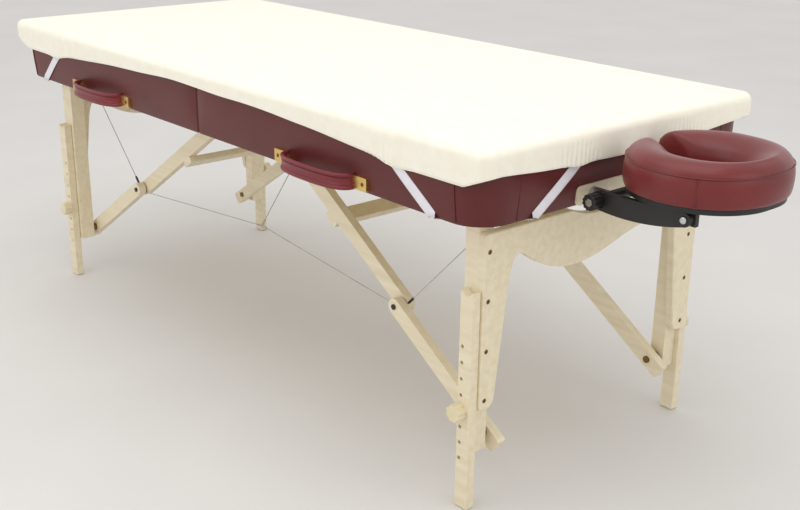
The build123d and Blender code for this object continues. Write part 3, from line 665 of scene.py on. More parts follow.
# %% Seam tree
def node_tree(name, inputs):
    """An empty geometry tree with a mesh or curve in and a mesh out, and named number inputs."""
    tree = bpy.data.node_groups.new(name, "GeometryNodeTree")
    tree.interface.new_socket("Geometry", in_out="INPUT", socket_type="NodeSocketGeometry")
    tree.interface.new_socket("Geometry", in_out="OUTPUT", socket_type="NodeSocketGeometry")
    for label, value in inputs.items():
        socket = tree.interface.new_socket(label, in_out="INPUT", socket_type="NodeSocketFloat")
        socket.default_value = value
    return tree, tree.nodes.new("NodeGroupInput").outputs, tree.nodes.new("NodeGroupOutput")


def seam_tree(name, rope_material, thread_material, rope_size, stitch_length, stitch_gap, stitch_size):
    """A tree that turns a path into a welt with a row of stitches along its middle."""
    tree, given, result = node_tree(name, {"Rope size": rope_size, "Stitch length": stitch_length,
                                           "Stitch gap": stitch_gap, "Stitch size": stitch_size})
    round_section = add(tree, "GeometryNodeCurvePrimitiveCircle",
                        {"Resolution": 8, "Radius": given["Rope size"]})
    rope = add(tree, "GeometryNodeCurveToMesh",
               {"Curve": given["Geometry"], "Profile Curve": round_section.outputs[0], "Fill Caps": True})
    rope_done = add(tree, "GeometryNodeSetMaterial",
                    {"Geometry": rope.outputs[0], "Material": rope_material})
    pace = add(tree, "ShaderNodeMath", {0: given["Stitch length"], 1: given["Stitch gap"]}, operation="ADD")
    steps = add(tree, "GeometryNodeCurveToPoints", {"Curve": given["Geometry"], "Length": pace.outputs[0]},
                mode="LENGTH")
    stitch = add(tree, "GeometryNodeMeshUVSphere",
                 {"Segments": 6, "Rings": 5, "Radius": given["Stitch size"]})
    length_share = add(tree, "ShaderNodeMath", {0: given["Stitch length"], 1: given["Stitch size"]},
                       operation="DIVIDE")
    half_share = add(tree, "ShaderNodeMath", {0: length_share.outputs[0], 1: 0.5}, operation="MULTIPLY")
    size = add(tree, "ShaderNodeCombineXYZ", {"X": 1.0, "Y": 1.0, "Z": half_share.outputs[0]})
    placed = add(tree, "GeometryNodeInstanceOnPoints",
                 {"Points": steps.outputs["Points"], "Instance": stitch.outputs["Mesh"],
                  "Rotation": steps.outputs["Rotation"], "Scale": size.outputs[0]})
    real = add(tree, "GeometryNodeRealizeInstances", {"Geometry": placed.outputs[0]})
    thread_done = add(tree, "GeometryNodeSetMaterial",
                      {"Geometry": real.outputs[0], "Material": thread_material})
    both = add(tree, "GeometryNodeJoinGeometry")
    tree.links.new(rope_done.outputs[0], both.inputs[0])
    tree.links.new(thread_done.outputs[0], both.inputs[0])
    tree.links.new(both.outputs[0], result.inputs[0])
    return tree


def path_curve(name, paths):
    """A curve object with a run of straight pieces through each path's points."""
    curve = bpy.data.curves.new(name, "CURVE")
    curve.dimensions = "3D"
    for path in paths:
        spline = curve.splines.new("POLY")
        spline.points.add(len(path) - 1)
        for point, place in zip(spline.points, path):
            point.co = (*place, 1.0)
    piece = bpy.data.objects.new(name, curve)
    bpy.context.scene.collection.objects.link(piece)
    return piece


def curve_to_mesh(curve):
    """A plain mesh object that takes the curve's place and name."""
    name = curve.name
    bpy.context.view_layer.update()
    mesh = bpy.data.meshes.new_from_object(curve.evaluated_get(bpy.context.evaluated_depsgraph_get()))
    bpy.data.objects.remove(curve)
    mesh.name = name
    piece = bpy.data.objects.new(name, mesh)
    bpy.context.scene.collection.objects.link(piece)
    return piece


def sew(name, paths, tree):
    """A mesh of seams along several paths, made by the tree."""
    curve = path_curve(name, paths)
    curve.modifiers.new("seam", "NODES").node_group = tree
    piece = curve_to_mesh(curve)
    piece.data.shade_smooth()
    return piece


vinyl_seam = seam_tree("vinyl seam", table_vinyl, thread_dark, 0.0011, 0.0032, 0.0012, 0.0004)
cradle_seam = seam_tree("cradle seam", cradle_vinyl, thread_dark, 0.0012, 0.0030, 0.0012, 0.0004)
handle_seam = seam_tree("handle seam", handle_vinyl, thread_dark, 0.0003, 0.0036, 0.0014, 0.0005)
sheet_seam = seam_tree("sheet seam", sheet_cotton, thread_cream, 0.0007, 0.0030, 0.0015, 0.0004)
print("seam trees for vinyl, cradle, handles and sheet")

# %% [markdown]
# ## The upholstery's corner seams
# Each outer corner has a panel of its own, so one seam runs down the long side just before the corner and
# another down the end just after it. Both lie on the swell of the vinyl.

# %% Corner seams of the upholstery
seam_heights = [underside + 0.004 + 0.120 * k / 24 for k in range(25)]
side_panel, end_panel = 0.0595, 0.094        # from the corner to the seam, along the side and the end


def seam_down_side(way, across):
    """Down a long side, just before the corner panel."""
    return [(hinge_x + way * (half_length - side_panel),
             middle_y + across * (half_width + side_swell(z)), z) for z in seam_heights]


def seam_down_end(way, across):
    """Down the end, just after the corner panel."""
    return [(hinge_x + way * (half_length + side_swell(z)),
             middle_y + across * (half_width - end_panel), z) for z in seam_heights]


for half, way in ways.items():
    lines = [line(way, across) for line in (seam_down_side, seam_down_end) for across in (-1, 1)]
    seams = sew(f"{half}_upholstery_seams", lines, vinyl_seam)
    halves[half] = join_meshes(f"{half}_upholstery", [halves[half], seams])
    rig.ride(halves[half], f"{half}_half")
    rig.replaces(halves[half], f"{half}_vinyl_cover", f"{half}_foam_pad")
    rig.slot(halves[half], "table_vinyl")
    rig.padded(halves[half], fill=0.95)
print("upholstery with seams", len(halves["head"].data.polygons), "faces")

# %% [markdown]
# ## The fitted sheet
# One sheet covers both halves. It is smooth and tight on top, turns over a soft edge, and hangs as a
# short skirt that is pulled down by elastic straps near the corners: there it gathers into fine upright
# folds, and between them the hem rises a little. The skirt is rings again, with a hem whose height is a
# rule, and folds whose depth grows towards the straps and the hem.

# %% Fitted sheet
sheet_end = sheet_high.x - hinge_x
sheet_half_width = (sheet_high.y - sheet_low.y) / 2
foot_flare = 0.026                  # the skirt stands this much further out at the foot end
sheet_top = sheet_high.z - 0.0012
sheet_corner, round_edge = 0.030, 0.017
skirt_steps = 10
fold_spacing, ripple_depth = 0.0125, 0.0032
side_pull, end_pull = 0.665, 0.16   # where the straps pull, along the side and across the end


def sheet_plan(inset):
    """The sheet's outline, drawn in by inset."""
    return rounded_plan(-sheet_end - foot_flare, sheet_end, sheet_half_width, sheet_corner, sheet_corner,
                        inset, 420, 16)


side_low, side_rise = 0.6815, 0.0325     # along a side: the hem's low ends, and the rise to its middle
end_low, end_rise = 0.690, 0.014         # across an end: the hem's middle, and the rise to its corners


def hem_height(x, y):
    """Height of the hem under a point on the sheet's edge."""
    along = min(abs(x) / 0.72, 1.0)
    side_hem = side_low + side_rise * (1 - along ** 2) + uneven((x, y, 0), 5, 0.003)
    side_hem -= 0.006 * math.exp(-((abs(x) - 0.69) / 0.035) ** 2)
    end_hem = end_low + end_rise * min(abs(y) / 0.36, 1.0) ** 2 + uneven((x, y, 0), 7, 0.003)
    end_hem -= 0.005 * math.exp(-((abs(y) - end_pull) / 0.03) ** 2)
    share = min(max((abs(x) - sheet_end + 0.05) / 0.05, 0.0), 1.0)
    return side_hem * (1 - share) + end_hem * share


def fold_depth(x, y):
    """Folds gather where the straps pull."""
    near_side = math.exp(-((abs(x) - side_pull) / 0.055) ** 2) if abs(y) > sheet_half_width - 0.04 else 0.0
    near_end = math.exp(-((abs(y) - end_pull) / 0.05) ** 2) if abs(x) > sheet_end - 0.04 else 0.0
    corner = 0.4 if abs(x) > sheet_end - 0.05 and abs(y) > sheet_half_width - 0.05 else 0.0
    return max(near_side, near_end, corner)


def close_middle(piece):
    """The last ring is folded flat on the middle line, so merging its points closes the cloth there."""
    mesh = bmesh.new()
    mesh.from_mesh(piece.data)
    bmesh.ops.remove_doubles(mesh, verts=mesh.verts, dist=0.0003)
    mesh.to_mesh(piece.data)
    mesh.free()
    return piece


def fitted_sheet(name):
    """Rings up the skirt, over the rounded edge and in to the middle line, given the cloth's thickness."""
    rings = []
    plan = sheet_plan(0.0012)
    for k in range(skirt_steps + 1):
        ring = []
        for place, outward in plan:
            hem = hem_height(*place)
            fall = 1 - k / skirt_steps
            z = hem * fall + (sheet_top - round_edge) * (1 - fall)
            run = place.x if abs(outward.y) > 0.7 else place.y
            wave = math.sin(run * 2 * math.pi / fold_spacing + 2.5 * noise.noise(Vector((run * 30, 0, 0))))
            ripple = ripple_depth * fold_depth(*place) * (0.5 + 0.5 * wave) * (0.45 + 0.55 * fall)
            slow = uneven((place.x, place.y, z * 0.4), 9, 0.0012) * fall
            draw_in = -0.0014 * fold_depth(*place) * fall ** 1.5 - 0.0006 * fall
            place = place + outward * (ripple + slow + draw_in)
            ring.append((hinge_x + place.x, middle_y + place.y, z))
        rings.append(ring)
    for k in range(1, 9):
        angle = math.pi / 2 * k / 8
        z = sheet_top - round_edge * (1 - math.sin(angle))
        rings.append([(hinge_x + place.x, middle_y + place.y, z) for place, _ in
                      sheet_plan(round_edge * (1 - math.cos(angle)) + 0.0012)])
    for inset in (0.03, 0.05, 0.09, 0.15, 0.22, 0.30, sheet_half_width):
        rings.append([(hinge_x + place.x, middle_y + place.y,
                       sheet_top + uneven((place.x, place.y, 0.3), 6, 0.0004))
                      for place, _ in sheet_plan(inset)])
    vertices, faces = ring_shell(rings, closed=False)
    piece = close_middle(make_piece(name, vertices, faces, [sheet_cotton]))
    thickness = piece.modifiers.new("thickness", "SOLIDIFY")
    thickness.thickness = 0.0008
    thickness.offset = 0
    return bake(piece), rings[0]


sheet, hem_line = fitted_sheet("fitted_sheet")
print("sheet faces", len(sheet.data.polygons))

# %% [markdown]
# ## The sheet's hem and corner seams
# The hem is turned up and sewn, and each corner is closed by an upright seam, so the same seam tree runs
# along the hem line and down the four corners.

# %% Hem and corner seams
corner_lines = []
for x_side in (-1, 1):
    for y_side in (-1, 1):
        x, y = x_side * (sheet_end - 0.0095), y_side * (sheet_half_width - 0.0095)
        x -= foot_flare if x_side < 0 else 0
        low = hem_height(x, y) + 0.001
        corner_lines.append([(hinge_x + x, middle_y + y, low + (sheet_top - 0.018 - low) * k / 12)
                             for k in range(13)])
hem_path = hem_line[::6] + hem_line[:1]
hem = sew("sheet_hem", [[(x, y, z + 0.0006) for x, y, z in hem_path]] + corner_lines, sheet_seam)

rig.replaces(sheet, "head_sheet", "foot_sheet")
for cloth_piece in (sheet, hem):
    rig.slot(cloth_piece, "sheet_cotton")
    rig.blend(cloth_piece, "foot_half", "head_half", start=(hinge_x - 0.15, middle_y, sheet_top),
             end=(hinge_x + 0.15, middle_y, sheet_top))
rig.sheet(sheet, flat=(2 * sheet_half_width + 0.11, 2 * sheet_end + foot_flare + 0.11), held="stretched",
         rests_on=["head_upholstery", "foot_upholstery"], with_pieces=[hem])
print("hem and corner seams", len(hem.data.polygons), "faces")

# %% [markdown]
# ## Flat bands
# The elastic straps and the handles are bands that follow a path. A band is one section swept along its
# middle line: at each point it needs the way its width runs and the way it faces. A slight crown keeps an
# elastic strap from looking like a strip of card.

# %% Band sweep
def band(name, path, width_ways, facing, section, material):
    """Sweep a closed section, whose points are (across, out), along a path."""
    rings = [[Vector(place) + across * Vector(wide) + out * Vector(face) for across, out in section]
             for place, wide, face in zip(path, width_ways, facing)]
    vertices, faces = ring_shell(rings)
    return face_outwards(make_piece(name, vertices, faces, [material]))


def band_section(width, thickness, steps=8):
    """A flat, slightly crowned section with rounded edges."""
    top = [(width * (k / steps - 0.5), thickness * (0.72 + 0.28 * math.sin(math.pi * k / steps)))
           for k in range(steps + 1)]
    bottom = [(width * (0.5 - k / steps), 0.0) for k in range(steps + 1)]
    return [(across * 0.98, out) for across, out in bottom] + top


# %% [markdown]
# ## The elastic corner straps
# Each corner of the sheet has one elastic strap. It leaves the skirt on the long side, slants down to the
# table's lower edge, passes under the corner and slants up to the skirt at the end. So its path has three
# stretches, and each knows which way the strap faces there.

# %% Elastic corner straps
strap_width, strap_thickness = 0.0225, 0.0011
strap_top = 0.7000                               # hidden under the skirt
strap_gap = 0.0007                               # how far the strap lies off the vinyl
side_start, side_slant = 0.688, 0.111            # along the side from the hinge, and how far it slants
end_start, end_slant = 0.150, 0.107              # the same across the end, from the middle


def strap_path(way, across):
    """From the skirt down the long side, under the corner, and up the end."""
    def on_side(z):
        share = (sheet_low.z - z) / (sheet_low.z - underside)
        place = Vector((hinge_x + way * (side_start + side_slant * share),
                        middle_y + across * (half_width + side_swell(z) + strap_gap), z))
        return place, Vector((0, across, 0))

    def on_end(z):
        share = (sheet_low.z - z) / (sheet_low.z - underside)
        place = Vector((hinge_x + way * (half_length + side_swell(z) + strap_gap),
                        middle_y + across * (end_start + end_slant * share), z))
        return place, Vector((way, 0, 0))

    heights = [strap_top - (strap_top - underside - 0.003) * k / 16 for k in range(17)]
    down = [on_side(z) for z in heights]
    up = [on_end(z) for z in reversed(heights)]
    below = underside - 0.0009
    first = Vector((down[-1][0].x + way * 0.002, down[-1][0].y - across * 0.003, below))
    last = Vector((up[0][0].x - way * 0.003, up[0][0].y + across * 0.002, below))
    under = [(first.lerp(last, k / 6), Vector((0, 0, -1))) for k in range(7)]
    route = down + under + up
    places = [place for place, _ in route]
    facing = [face for _, face in route]
    width_ways = []
    for k, face in enumerate(facing):
        ahead = places[min(k + 1, len(places) - 1)] - places[max(k - 1, 0)]
        width_ways.append(ahead.cross(face).normalized())
    return places, width_ways, facing


for half, way in ways.items():
    straps = [band(f"strap_{half}_{across}", *strap_path(way, across),
                   band_section(strap_width, strap_thickness), strap_elastic) for across in (-1, 1)]
    strap_pair = join_meshes(f"{half}_elastic_straps", straps)
    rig.ride(strap_pair, f"{half}_half")
    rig.replaces(strap_pair, f"{half}_corner_straps")
    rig.slot(strap_pair, "elastic")
print("straps", len(strap_pair.data.polygons), "faces each half")

# %% [markdown]
# ## Carrying handles
# A handle is a vinyl strap with a cord rolled into each long edge, sewn down beside the roll, and held at
# both ends under a bent brass plate. Its section is two rolls with a thin web between them, swept along
# the bow that the strap takes between its plates.

# %% Handles
handle_low, handle_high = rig.box("head_handle")
handle_middle = (handle_low.x + handle_high.x) / 2 - hinge_x
handle_z = (handle_low.z + handle_high.z) / 2
handle_bow, handle_span = -0.0378, 0.108         # how far it stands off, and half its length
stitch_row = 0.0070                              # each row of stitches, from the middle of the strap


def handle_line(steps=72, fullness=0.74):
    """The middle line of the strap, as (along, out): a flattened bow, steep where it leaves its plates."""
    angles = [math.pi * k / steps for k in range(steps + 1)]
    return [(-handle_span * math.copysign(abs(math.cos(a)) ** fullness, math.cos(a)),
             handle_bow * abs(math.sin(a)) ** fullness) for a in angles]


def roll_outline(height=0.0338, roll=0.0041, web=0.0015):
    """The outline from the upper roll's outer side round to the lower one, and back along the inner side."""
    centre = height / 2 - roll
    reach = math.asin(web / roll)
    round_it = [math.pi - reach - (2 * math.pi - 2 * reach) * k / 14 for k in range(15)]
    upper = [(centre + roll * math.cos(t), roll * math.sin(t)) for t in round_it]
    return upper + [(-across, -out) for across, out in upper]


def carrying_handle(half, way):
    """One handle with its two rows of stitches."""
    base_y = middle_y - half_width - 0.0042
    places = [Vector((hinge_x + way * (handle_middle + along), base_y + out, handle_z))
              for along, out in handle_line()]
    facing = []
    for k in range(len(places)):
        ahead = (places[min(k + 1, len(places) - 1)] - places[max(k - 1, 0)]).normalized()
        facing.append(Vector((ahead.y, -ahead.x, 0)) * way)
    upright = [Vector((0, 0, 1))] * len(places)
    strap = band(f"{half}_handle_strap", places, upright, facing, roll_outline(), handle_vinyl)
    rows = [[place + face * 0.0017 + Vector((0, 0, up)) for place, face in zip(places[6:-6], facing[6:-6])]
            for up in (-stitch_row, stitch_row)]
    stitches = sew(f"{half}_handle_stitches", rows, handle_seam)
    return join_meshes(f"{half}_handle_wrap", [strap, stitches])


for half, way in ways.items():
    handle = carrying_handle(half, way)
    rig.ride(handle, f"{half}_half")
    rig.replaces(handle, f"{half}_handle")
    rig.slot(handle, "table_vinyl")
print("handle", len(handle.data.polygons), "faces")

# %% [markdown]
# ## The face cradle's pad
# The pad is a horseshoe of foam in vinyl: a side band, a sewn seam, and a top panel that crowns and then
# falls away in a broad bevel to the hole. Its section is written once, from the outer side over the crown
# to the hole, and is carried round the horseshoe between an outer and an inner oval. A subdivision
# surface rounds it as foam does.

# %% Cradle pad
cradle_low, cradle_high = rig.box("cradle_pad")
cradle_middle = (cradle_low + cradle_high) / 2
outer_long, outer_wide = (cradle_high.x - cradle_low.x) / 2, (cradle_high.y - cradle_low.y) / 2
hole_long, hole_wide = 0.075, 0.052              # half the length and width of the hole
gap_half = 0.0305                                # half of the gap in the horseshoe
pad_height = cradle_high.z - cradle_low.z


def oval(angle, half_x, half_y, squareness=2.12):
    """A point on an oval. Squareness 2 is an ellipse, and more is fuller at the corners."""
    power = 2 / squareness
    c, s = math.cos(angle), math.sin(angle)
    return Vector((half_x * math.copysign(abs(c) ** power, c), half_y * math.copysign(abs(s) ** power, s), 0))


def edges_at_gap(distance):
    """Angles of the outer and inner ovals where they come within a distance of the gap's side."""
    outer = math.asin(((gap_half + distance) / outer_wide) ** 1.06)
    inner = math.asin(min((gap_half + distance) / hole_wide, 0.999))
    return math.pi - outer, math.pi - inner


def pad_section(width, shrink):
    """Points of the pad's section: how far in from the outer edge, and how high."""
    side = [(0.010, 0.0), (0.0035, 0.001), (0.0008, 0.007), (-0.0012, 0.020), (-0.0016, 0.034),
            (-0.0004, 0.046), (0.0016, 0.0535), (0.0030, 0.0550), (0.0030, 0.0572), (0.0062, 0.0640)]
    crown = [(0.014, 0.0715), (0.026, 0.0768), (0.40 * width, pad_height + 0.0012), (0.62 * width, 0.0735)]
    bevel = [(width - 0.0150, 0.0610), (width - 0.0060, 0.0480), (width - 0.0015, 0.0350),
             (width - 0.0002, 0.0180), (width - 0.0020, 0.0030), (width - 0.010, 0.0)]
    middle = Vector((width / 2, pad_height / 2))
    done = []
    for inward, up in side + crown + bevel:
        offset = Vector((inward, up)) - middle
        offset.x -= math.copysign(min(abs(offset.x), shrink), offset.x)
        offset.y -= math.copysign(min(abs(offset.y), shrink), offset.y)
        done.append(middle + offset)
    return done


def cradle_sections():
    """Angles on the outer and inner oval for each section, drawn in a little at both rounded ends."""
    ends = [(0.0, 0.0095), (0.0010, 0.0050), (0.0045, 0.0014), (0.0110, 0.0)]
    angles = [(*edges_at_gap(distance), shrink) for distance, shrink in ends]
    outer_last, inner_last, _ = angles[-1]
    around = [(outer_last * (1 - 2 * k / 44), inner_last * (1 - 2 * k / 44), 0.0) for k in range(1, 44)]
    return angles + around + [(-outer, -inner, shrink) for outer, inner, shrink in reversed(angles)]


def cradle_pad_mesh():
    """The sections joined into a horseshoe, and rounded."""
    rings = []
    base = Vector((cradle_middle.x, cradle_middle.y, cradle_low.z + 0.0003))
    for outer_angle, inner_angle, shrink in cradle_sections():
        outer = oval(outer_angle, outer_long, outer_wide)
        inner = oval(inner_angle, hole_long, hole_wide, 2.0)
        width = (inner - outer).length
        inward = (inner - outer) / width
        ring = []
        for across, up in pad_section(width, shrink):
            puff = uneven((outer.x + across, outer.y, up), 26, 0.0016) if 0.004 < up else 0.0
            ring.append(base + outer + inward * (across - puff) + Vector((0, 0, up + puff * 0.4)))
        rings.append(ring)
    vertices, faces = ring_shell(rings)
    piece = face_outwards(make_piece("cradle_cushion", vertices, faces, [cradle_vinyl]))
    smooth = piece.modifiers.new("foam", "SUBSURF")
    smooth.levels = smooth.render_levels = 3
    return bake(piece)


cushion = cradle_pad_mesh()
cushion.data.shade_smooth()
print("cradle cushion", len(cushion.data.polygons), "faces")

# %% [markdown]
# ## Seams of the cradle pad
# The seam runs round the outside between band and top. A short upright seam closes the band where its
# two ends meet, on the near side. Both use the seam tree.

# %% Cradle seams
def band_line(height, stand_off):
    """Round the outside of the pad at a height, from one side of the gap to the other."""
    base = Vector((cradle_middle.x, cradle_middle.y, cradle_low.z + height))
    line = []
    limit = edges_at_gap(0.010)[0]
    for k in range(121):
        angle = limit * (1 - 2 * k / 120)
        outward = oval(angle, 1, 1).normalized()
        line.append(base + oval(angle, outer_long, outer_wide) + outward * stand_off)
    return line


tick_angle = math.radians(-62)
tick_place = oval(tick_angle, outer_long, outer_wide)
tick = [Vector((cradle_middle.x, cradle_middle.y, cradle_low.z)) + tick_place
        + tick_place.normalized() * (0.0002 + 0.0012 * math.sin(math.pi * z / 0.055)) + Vector((0, 0, z))
        for z in (0.003 + 0.051 * k / 14 for k in range(15))]
pad_seams = sew("cradle_cushion_seams", [band_line(0.0562, -0.0016), tick], cradle_seam)
cushion = join_meshes("cradle_cushion", [cushion, pad_seams])
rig.ride(cushion, "cradle_head")
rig.replaces(cushion, "cradle_pad")
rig.slot(cushion, "cradle_vinyl")
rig.padded(cushion, fill=0.85)
print("cradle cushion with seams", len(cushion.data.polygons), "faces")

# %% [markdown]
# ## Turned pieces
# Bolt caps, crimps, and sockets are turned shapes: a profile spun round an axis. The function takes the
# profile as distance along the axis and radius.

# %% Turned pieces
def turned(name, profile, base, direction, material, sides=24):
    """A profile of (along, radius) spun round a direction from base."""
    axis = Vector(direction).normalized()
    one = axis.orthogonal().normalized()
    two = axis.cross(one)
    rings = [[Vector(base) + axis * along + radius * (math.cos(a) * one + math.sin(a) * two)
              for a in (2 * math.pi * k / sides for k in range(sides))] for along, radius in profile]
    vertices, faces = ring_shell(rings)
    return face_outwards(make_piece(name, vertices, faces, [material]), 0.000001)


def rounded_end(length, radius, edge, steps=4):
    """A profile with a rounded far edge."""
    bend = [(length - edge + edge * math.sin(a), radius - edge + edge * math.cos(a))
            for a in (math.pi / 2 * k / steps for k in range(steps + 1))]
    return [(0.0, radius), *bend, (length, 0.0002)]


# %% [markdown]
# ## The cradle's caps and sockets
# A bright cap closes the end of the pin at the tip of each arm, and each of the cradle's knobs has a
# six-sided metal socket in its face. Both are turned shapes, a socket with only six sides.

# %% Caps and sockets
arms_low, arms_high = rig.box("cradle_arms")
tip_x, tip_z = hinge_x + 1.148, 0.634
socket_profile = [(0.0, 0.0078), (0.0008, 0.0078), (0.0012, 0.0074), (0.0012, 0.0046), (0.0004, 0.0044),
                  (0.0004, 0.0002)]
for label, across in (("near", -1), ("far", 1)):
    face_y = arms_low.y if across < 0 else arms_high.y
    cap = turned(f"cradle_arm_cap_{label}", rounded_end(0.0034, 0.0068, 0.0026),
                 (tip_x, face_y - across * 0.0022, tip_z), (0, across, 0), silver_rivet)
    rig.ride(cap, "cradle_arm_pair")
    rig.slot(cap, "rod_aluminium")
    knob_low, knob_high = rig.box(f"cradle_knob_{label}")
    knob_face = knob_low.y if across < 0 else knob_high.y
    knob_middle = (knob_low + knob_high) / 2
    socket = turned(f"cradle_knob_socket_{label}", socket_profile,
                    (knob_middle.x, knob_face - across * 0.0002, knob_middle.z), (0, across, 0), nickel, 6)
    socket.data.shade_flat()
    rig.ride(socket, f"cradle_knob_{label}_body")
    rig.slot(socket, "hinge_steel")
print("arm caps and knob sockets made")

# %% [markdown]
# ## Screws
# Eight wood screws hold each end panel to its posts, and one holds each handle plate. They repeat, so a
# small tree puts one cross-slotted head at each point, turned a little differently each time by a fixed
# seed, as real screws stop where they bite. The head brings its own two materials, brass and black for
# the painted shade in its slots, so this tree sets none.

# %% Screw tree
def screw_head(name, radius):
    """One pan head with a raised dome, and a black cross pressed into it as painted shade for its slots."""
    head = turned(name, [(0, radius), (0.0003, radius), (0.0009, radius * 0.8), (0.0012, radius * 0.45),
                         (0.0013, 0.0001)], (0, 0, 0), (0, 0, 1), aged_brass, 20)
    slot_shade_bars = []
    # The slots are black bars: painted shade where the cross's recess would be dark.
    for x, y in ((radius * 0.55, radius * 0.12), (radius * 0.12, radius * 0.55)):
        z0, z1 = 0.0006, 0.0015
        corners = [(sx * x, sy * y, z) for z in (z0, z1) for sx, sy in ((-1, -1), (1, -1), (1, 1), (-1, 1))]
        sides = [(0, 3, 2, 1), (4, 5, 6, 7), (0, 1, 5, 4), (1, 2, 6, 5), (2, 3, 7, 6), (3, 0, 4, 7)]
        slot_shade_bars.append(make_piece(name + "_slot", corners, sides, [black_steel], smooth=False))
    return join_meshes(name, [head, *slot_shade_bars])


def screws(name, places, radius, outward, seed):
    """Screw heads at places, all facing outward, as one mesh."""
    head = screw_head(name + "_one", radius)
    tree, given, result = node_tree(name + " tree", {"Turn": 3.0})
    facing = add(tree, "FunctionNodeAlignRotationToVector", {"Vector": outward}, axis="Z")
    chance = add(tree, "FunctionNodeRandomValue", {"Seed": seed}, data_type="FLOAT")
    tree.links.new(given["Turn"], chance.inputs[3])
    spin = add(tree, "FunctionNodeAxisAngleToRotation", {"Axis": (0, 0, 1), "Angle": chance.outputs[1]})
    turn = add(tree, "FunctionNodeRotateRotation", {0: facing.outputs[0], 1: spin.outputs[0]},
               rotation_space="LOCAL")
    one = add(tree, "GeometryNodeObjectInfo", {"Object": head})
    placed = add(tree, "GeometryNodeInstanceOnPoints",
                 {"Points": given["Geometry"], "Instance": one.outputs["Geometry"],
                  "Rotation": turn.outputs[0]})
    real = add(tree, "GeometryNodeRealizeInstances", {"Geometry": placed.outputs[0]})
    tree.links.new(real.outputs[0], result.inputs[0])
    piece = make_piece(name, places, [], [aged_brass, black_steel])
    piece.modifiers.new("screws", "NODES").node_group = tree
    bake(piece)
    bpy.data.objects.remove(head)
    return piece


# %% [markdown]
# ## Screws on the panels and plates
# The two rows of screws follow the legs' posts down each end panel, and each brass handle plate has one
# screw in its middle. The bolts in the legs and the plates themselves keep their CAD shape.

# %% Screws, bolts and plates
screw_heights = (0.536, 0.438, 0.336, 0.233)
panel_reach, row_reach = 0.8611, 0.310           # from the hinge to a panel's face, and to a row of screws
for half, way in ways.items():
    leg_places = [(hinge_x + way * panel_reach, middle_y + across * row_reach, z)
                  for z in screw_heights for across in (-1, 1)]
    leg_screws = screws(f"{half}_panel_screws", leg_places, 0.0047, (way, 0, 0), 4)
    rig.ride(leg_screws, f"{half}_legs")
    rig.slot(leg_screws, "brass")
    plate_low, plate_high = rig.box(f"{half}_handle_plates")
    plate_places = [(x, plate_low.y - 0.0001, (plate_low.z + plate_high.z) / 2)
                    for x in (plate_low.x + 0.012, plate_high.x - 0.012)]
    plate_screws = screws(f"{half}_plate_screws", plate_places, 0.0042, (0, -1, 0), 9)
    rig.ride(plate_screws, f"{half}_half")
    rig.slot(plate_screws, "brass")
    for node, brass in (("leg_fasteners", aged_brass), ("handle_plates", polished_brass)):
        kept = frame["nodes"][f"{half}_{node}"].data.materials
        kept.clear()
        kept.append(brass)
print("screws", len(leg_screws.data.polygons), "faces on an end panel")

# %% [markdown]
# ## Brace cables
# Coated steel cables brace the legs: from the end rail down to the knee of the braces, round it, and level
# across to a small ring under the hinge. They are structure held straight, not loose cord, so each is a
# round wire along a path with one tight turn, with black crimps by the knee and crimps at the ring.
# When the legs fold the real cables go slack under the deck, which squash stands for.

# %% Brace cables
wire_radius = 0.0011
knee_crimp = [(0.0, 0.0012), (0.0005, 0.0027), (0.004, 0.0030), (0.018, 0.0030), (0.0215, 0.0027),
              (0.022, 0.0012)]
ring_crimp = [(0.0, 0.0012), (0.0004, 0.0022), (0.0026, 0.0024), (0.0105, 0.0024), (0.0120, 0.0012)]


def wire(name, path):
    """A round wire along a path."""
    curve = path_curve(name, [path])
    curve.data.bevel_depth = wire_radius
    curve.data.bevel_resolution = 2
    curve.data.use_fill_caps = True
    piece = curve_to_mesh(curve)
    piece.data.materials.clear()
    piece.data.materials.append(coated_wire)
    return piece


def turned_corner(before, corner, after, reach=0.012, steps=8):
    """Points that cut a corner with a smooth bend."""
    start = corner + (before - corner).normalized() * reach
    end = corner + (after - corner).normalized() * reach
    return [start.lerp(corner, t).lerp(corner.lerp(end, t), t) for t in (k / steps for k in range(steps + 1))]


def brace_cable(half, way, across):
    """One cable with its crimps. The foot half also has the ring and the riser that holds it up."""
    def at(x, y, z):
        return Vector((hinge_x + way * x, middle_y + across * y, z))

    ring_place = at(0.003, 0.226, 0.345)
    knee, top = at(0.5539, 0.2508, 0.3094), at(0.8945, 0.2508, 0.655)      # the top is in the end rail
    pieces = [wire(f"cable_{half}_{across}", [ring_place, *turned_corner(ring_place, knee, top), top])]
    up = (top - knee).normalized()
    pieces.append(turned(f"crimp_{half}_{across}", knee_crimp, knee + up * 0.027, up, black_steel, 12))
    in_line = (knee - ring_place).normalized()
    pieces.append(turned(f"ring_crimp_{half}_{across}", ring_crimp, ring_place + in_line * 0.006, in_line,
                         coated_wire, 12))
    if half == "foot":
        riser_top = at(0.0116, 0.030, 0.6036)
        pieces.append(wire(f"riser_{across}", [ring_place, riser_top]))
        rise = (riser_top - ring_place).normalized()
        pieces.append(turned(f"riser_crimp_{across}", ring_crimp, ring_place + rise * 0.006, rise,
                             coated_wire, 12))
        circle = [ring_place + Vector((0.003, 0, 0)) + 0.0052 * Vector((math.cos(a), 0, math.sin(a)))
                  for a in (2 * math.pi * k / 24 for k in range(25))]
        pieces.append(wire(f"ring_{across}", circle))
    return pieces


for half, way in ways.items():
    cables = join_meshes(f"{half}_wire_cables", brace_cable(half, way, -1) + brace_cable(half, way, 1))
    cables.data.shade_smooth()
    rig.ride(cables, f"{half}_half")
    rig.replaces(cables, f"{half}_brace_cables")
    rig.slot(cables, "cable_steel")
    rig.squash(cables, f"{half}_leg_fold", axis=(0, 0, 1), anchor=(hinge_x, middle_y, underside - 0.004),
              keep=0.05)
print("cables", len(cables.data.polygons), "faces")

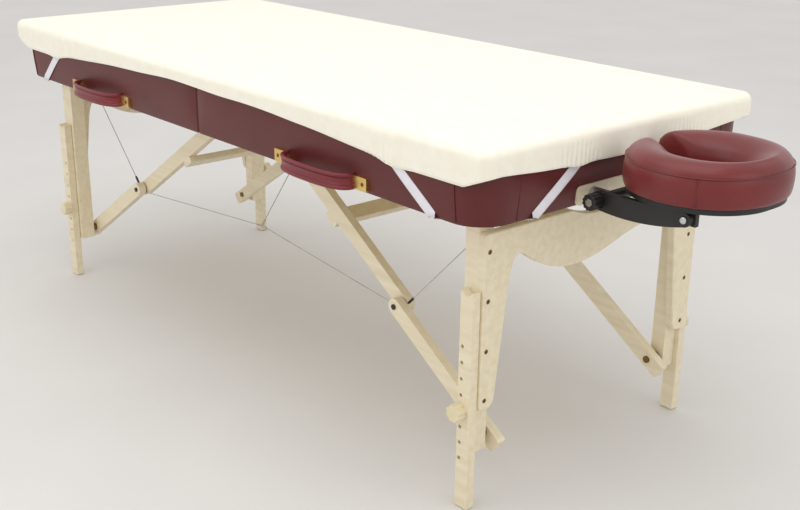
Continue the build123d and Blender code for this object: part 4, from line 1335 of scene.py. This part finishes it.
# %% [markdown]
# ## Floor and light
# A plain pale floor meets an equally pale surround, and large soft lamps give gentle shading with a
# light from above the near side. The floor belongs to the stage, not the table.

# %% Floor and lights
floor_material, floor_tree, floor_shader = start_material("pale_floor", "#dcdad8", 0.85)
floor_noise = add(floor_tree, "ShaderNodeTexNoise",
                  {"Vector": place_pattern(floor_tree), "Scale": per_metre(500)})
floor_tree.links.new(tint(floor_tree, floor_noise.outputs[0], "#dad8d6", "#dedcda"),
                     floor_shader.inputs["Base Color"])
reach, drop = 14, -0.001                         # just below the feet, so the two share no plane
floor = make_piece("floor", [(x * reach, y * reach, drop) for x, y in ((-1, -1), (1, -1), (1, 1), (-1, 1))],
                   [(0, 1, 2, 3)], [floor_material], smooth=False)
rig.stage(floor)

bpy.context.scene.view_settings.view_transform = "Standard"
world = bpy.data.worlds.new("pale surround")
bpy.context.scene.world = world
world.use_nodes = True
surround = world.node_tree.nodes["Background"].inputs
surround["Color"].default_value = colour("#fbfaf8")
surround["Strength"].default_value = 0.92


def soft_lamp(name, place, aim, width, power):
    """A square white lamp of a width in metres and a power in watts, turned towards aim."""
    lamp = bpy.data.objects.new(name, bpy.data.lights.new(name, "AREA"))
    lamp.data.shape = "SQUARE"
    lamp.data.size = width
    lamp.data.energy = power
    lamp.matrix_world = (Matrix.Translation(place)
                         @ (Vector(aim) - Vector(place)).to_track_quat("-Z", "Y").to_matrix().to_4x4())
    bpy.context.scene.collection.objects.link(lamp)


soft_lamp("overhead", (0.4, -0.6, 3.2), (0.0, 0.0, 0.6), 2.6, 26)
soft_lamp("near side", (-0.6, -3.2, 1.9), (0.0, 0.0, 0.5), 2.2, 12)
soft_lamp("head end", (3.4, 0.4, 1.8), (0.4, 0.0, 0.5), 1.8, 9)
print("lamps", len(bpy.data.lights))

# %% [markdown]
# ## The last step
# The box of the CAD model and the box of everything that shows are kept side by side, so the two sizes can
# be compared.

# %% Keep the sizes and finish
json.dump({"cad": [list(v) for v in cad_box], "visual": [list(v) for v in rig.bounds()]},
          open("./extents.json", "w"))
print(open("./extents.json").read())
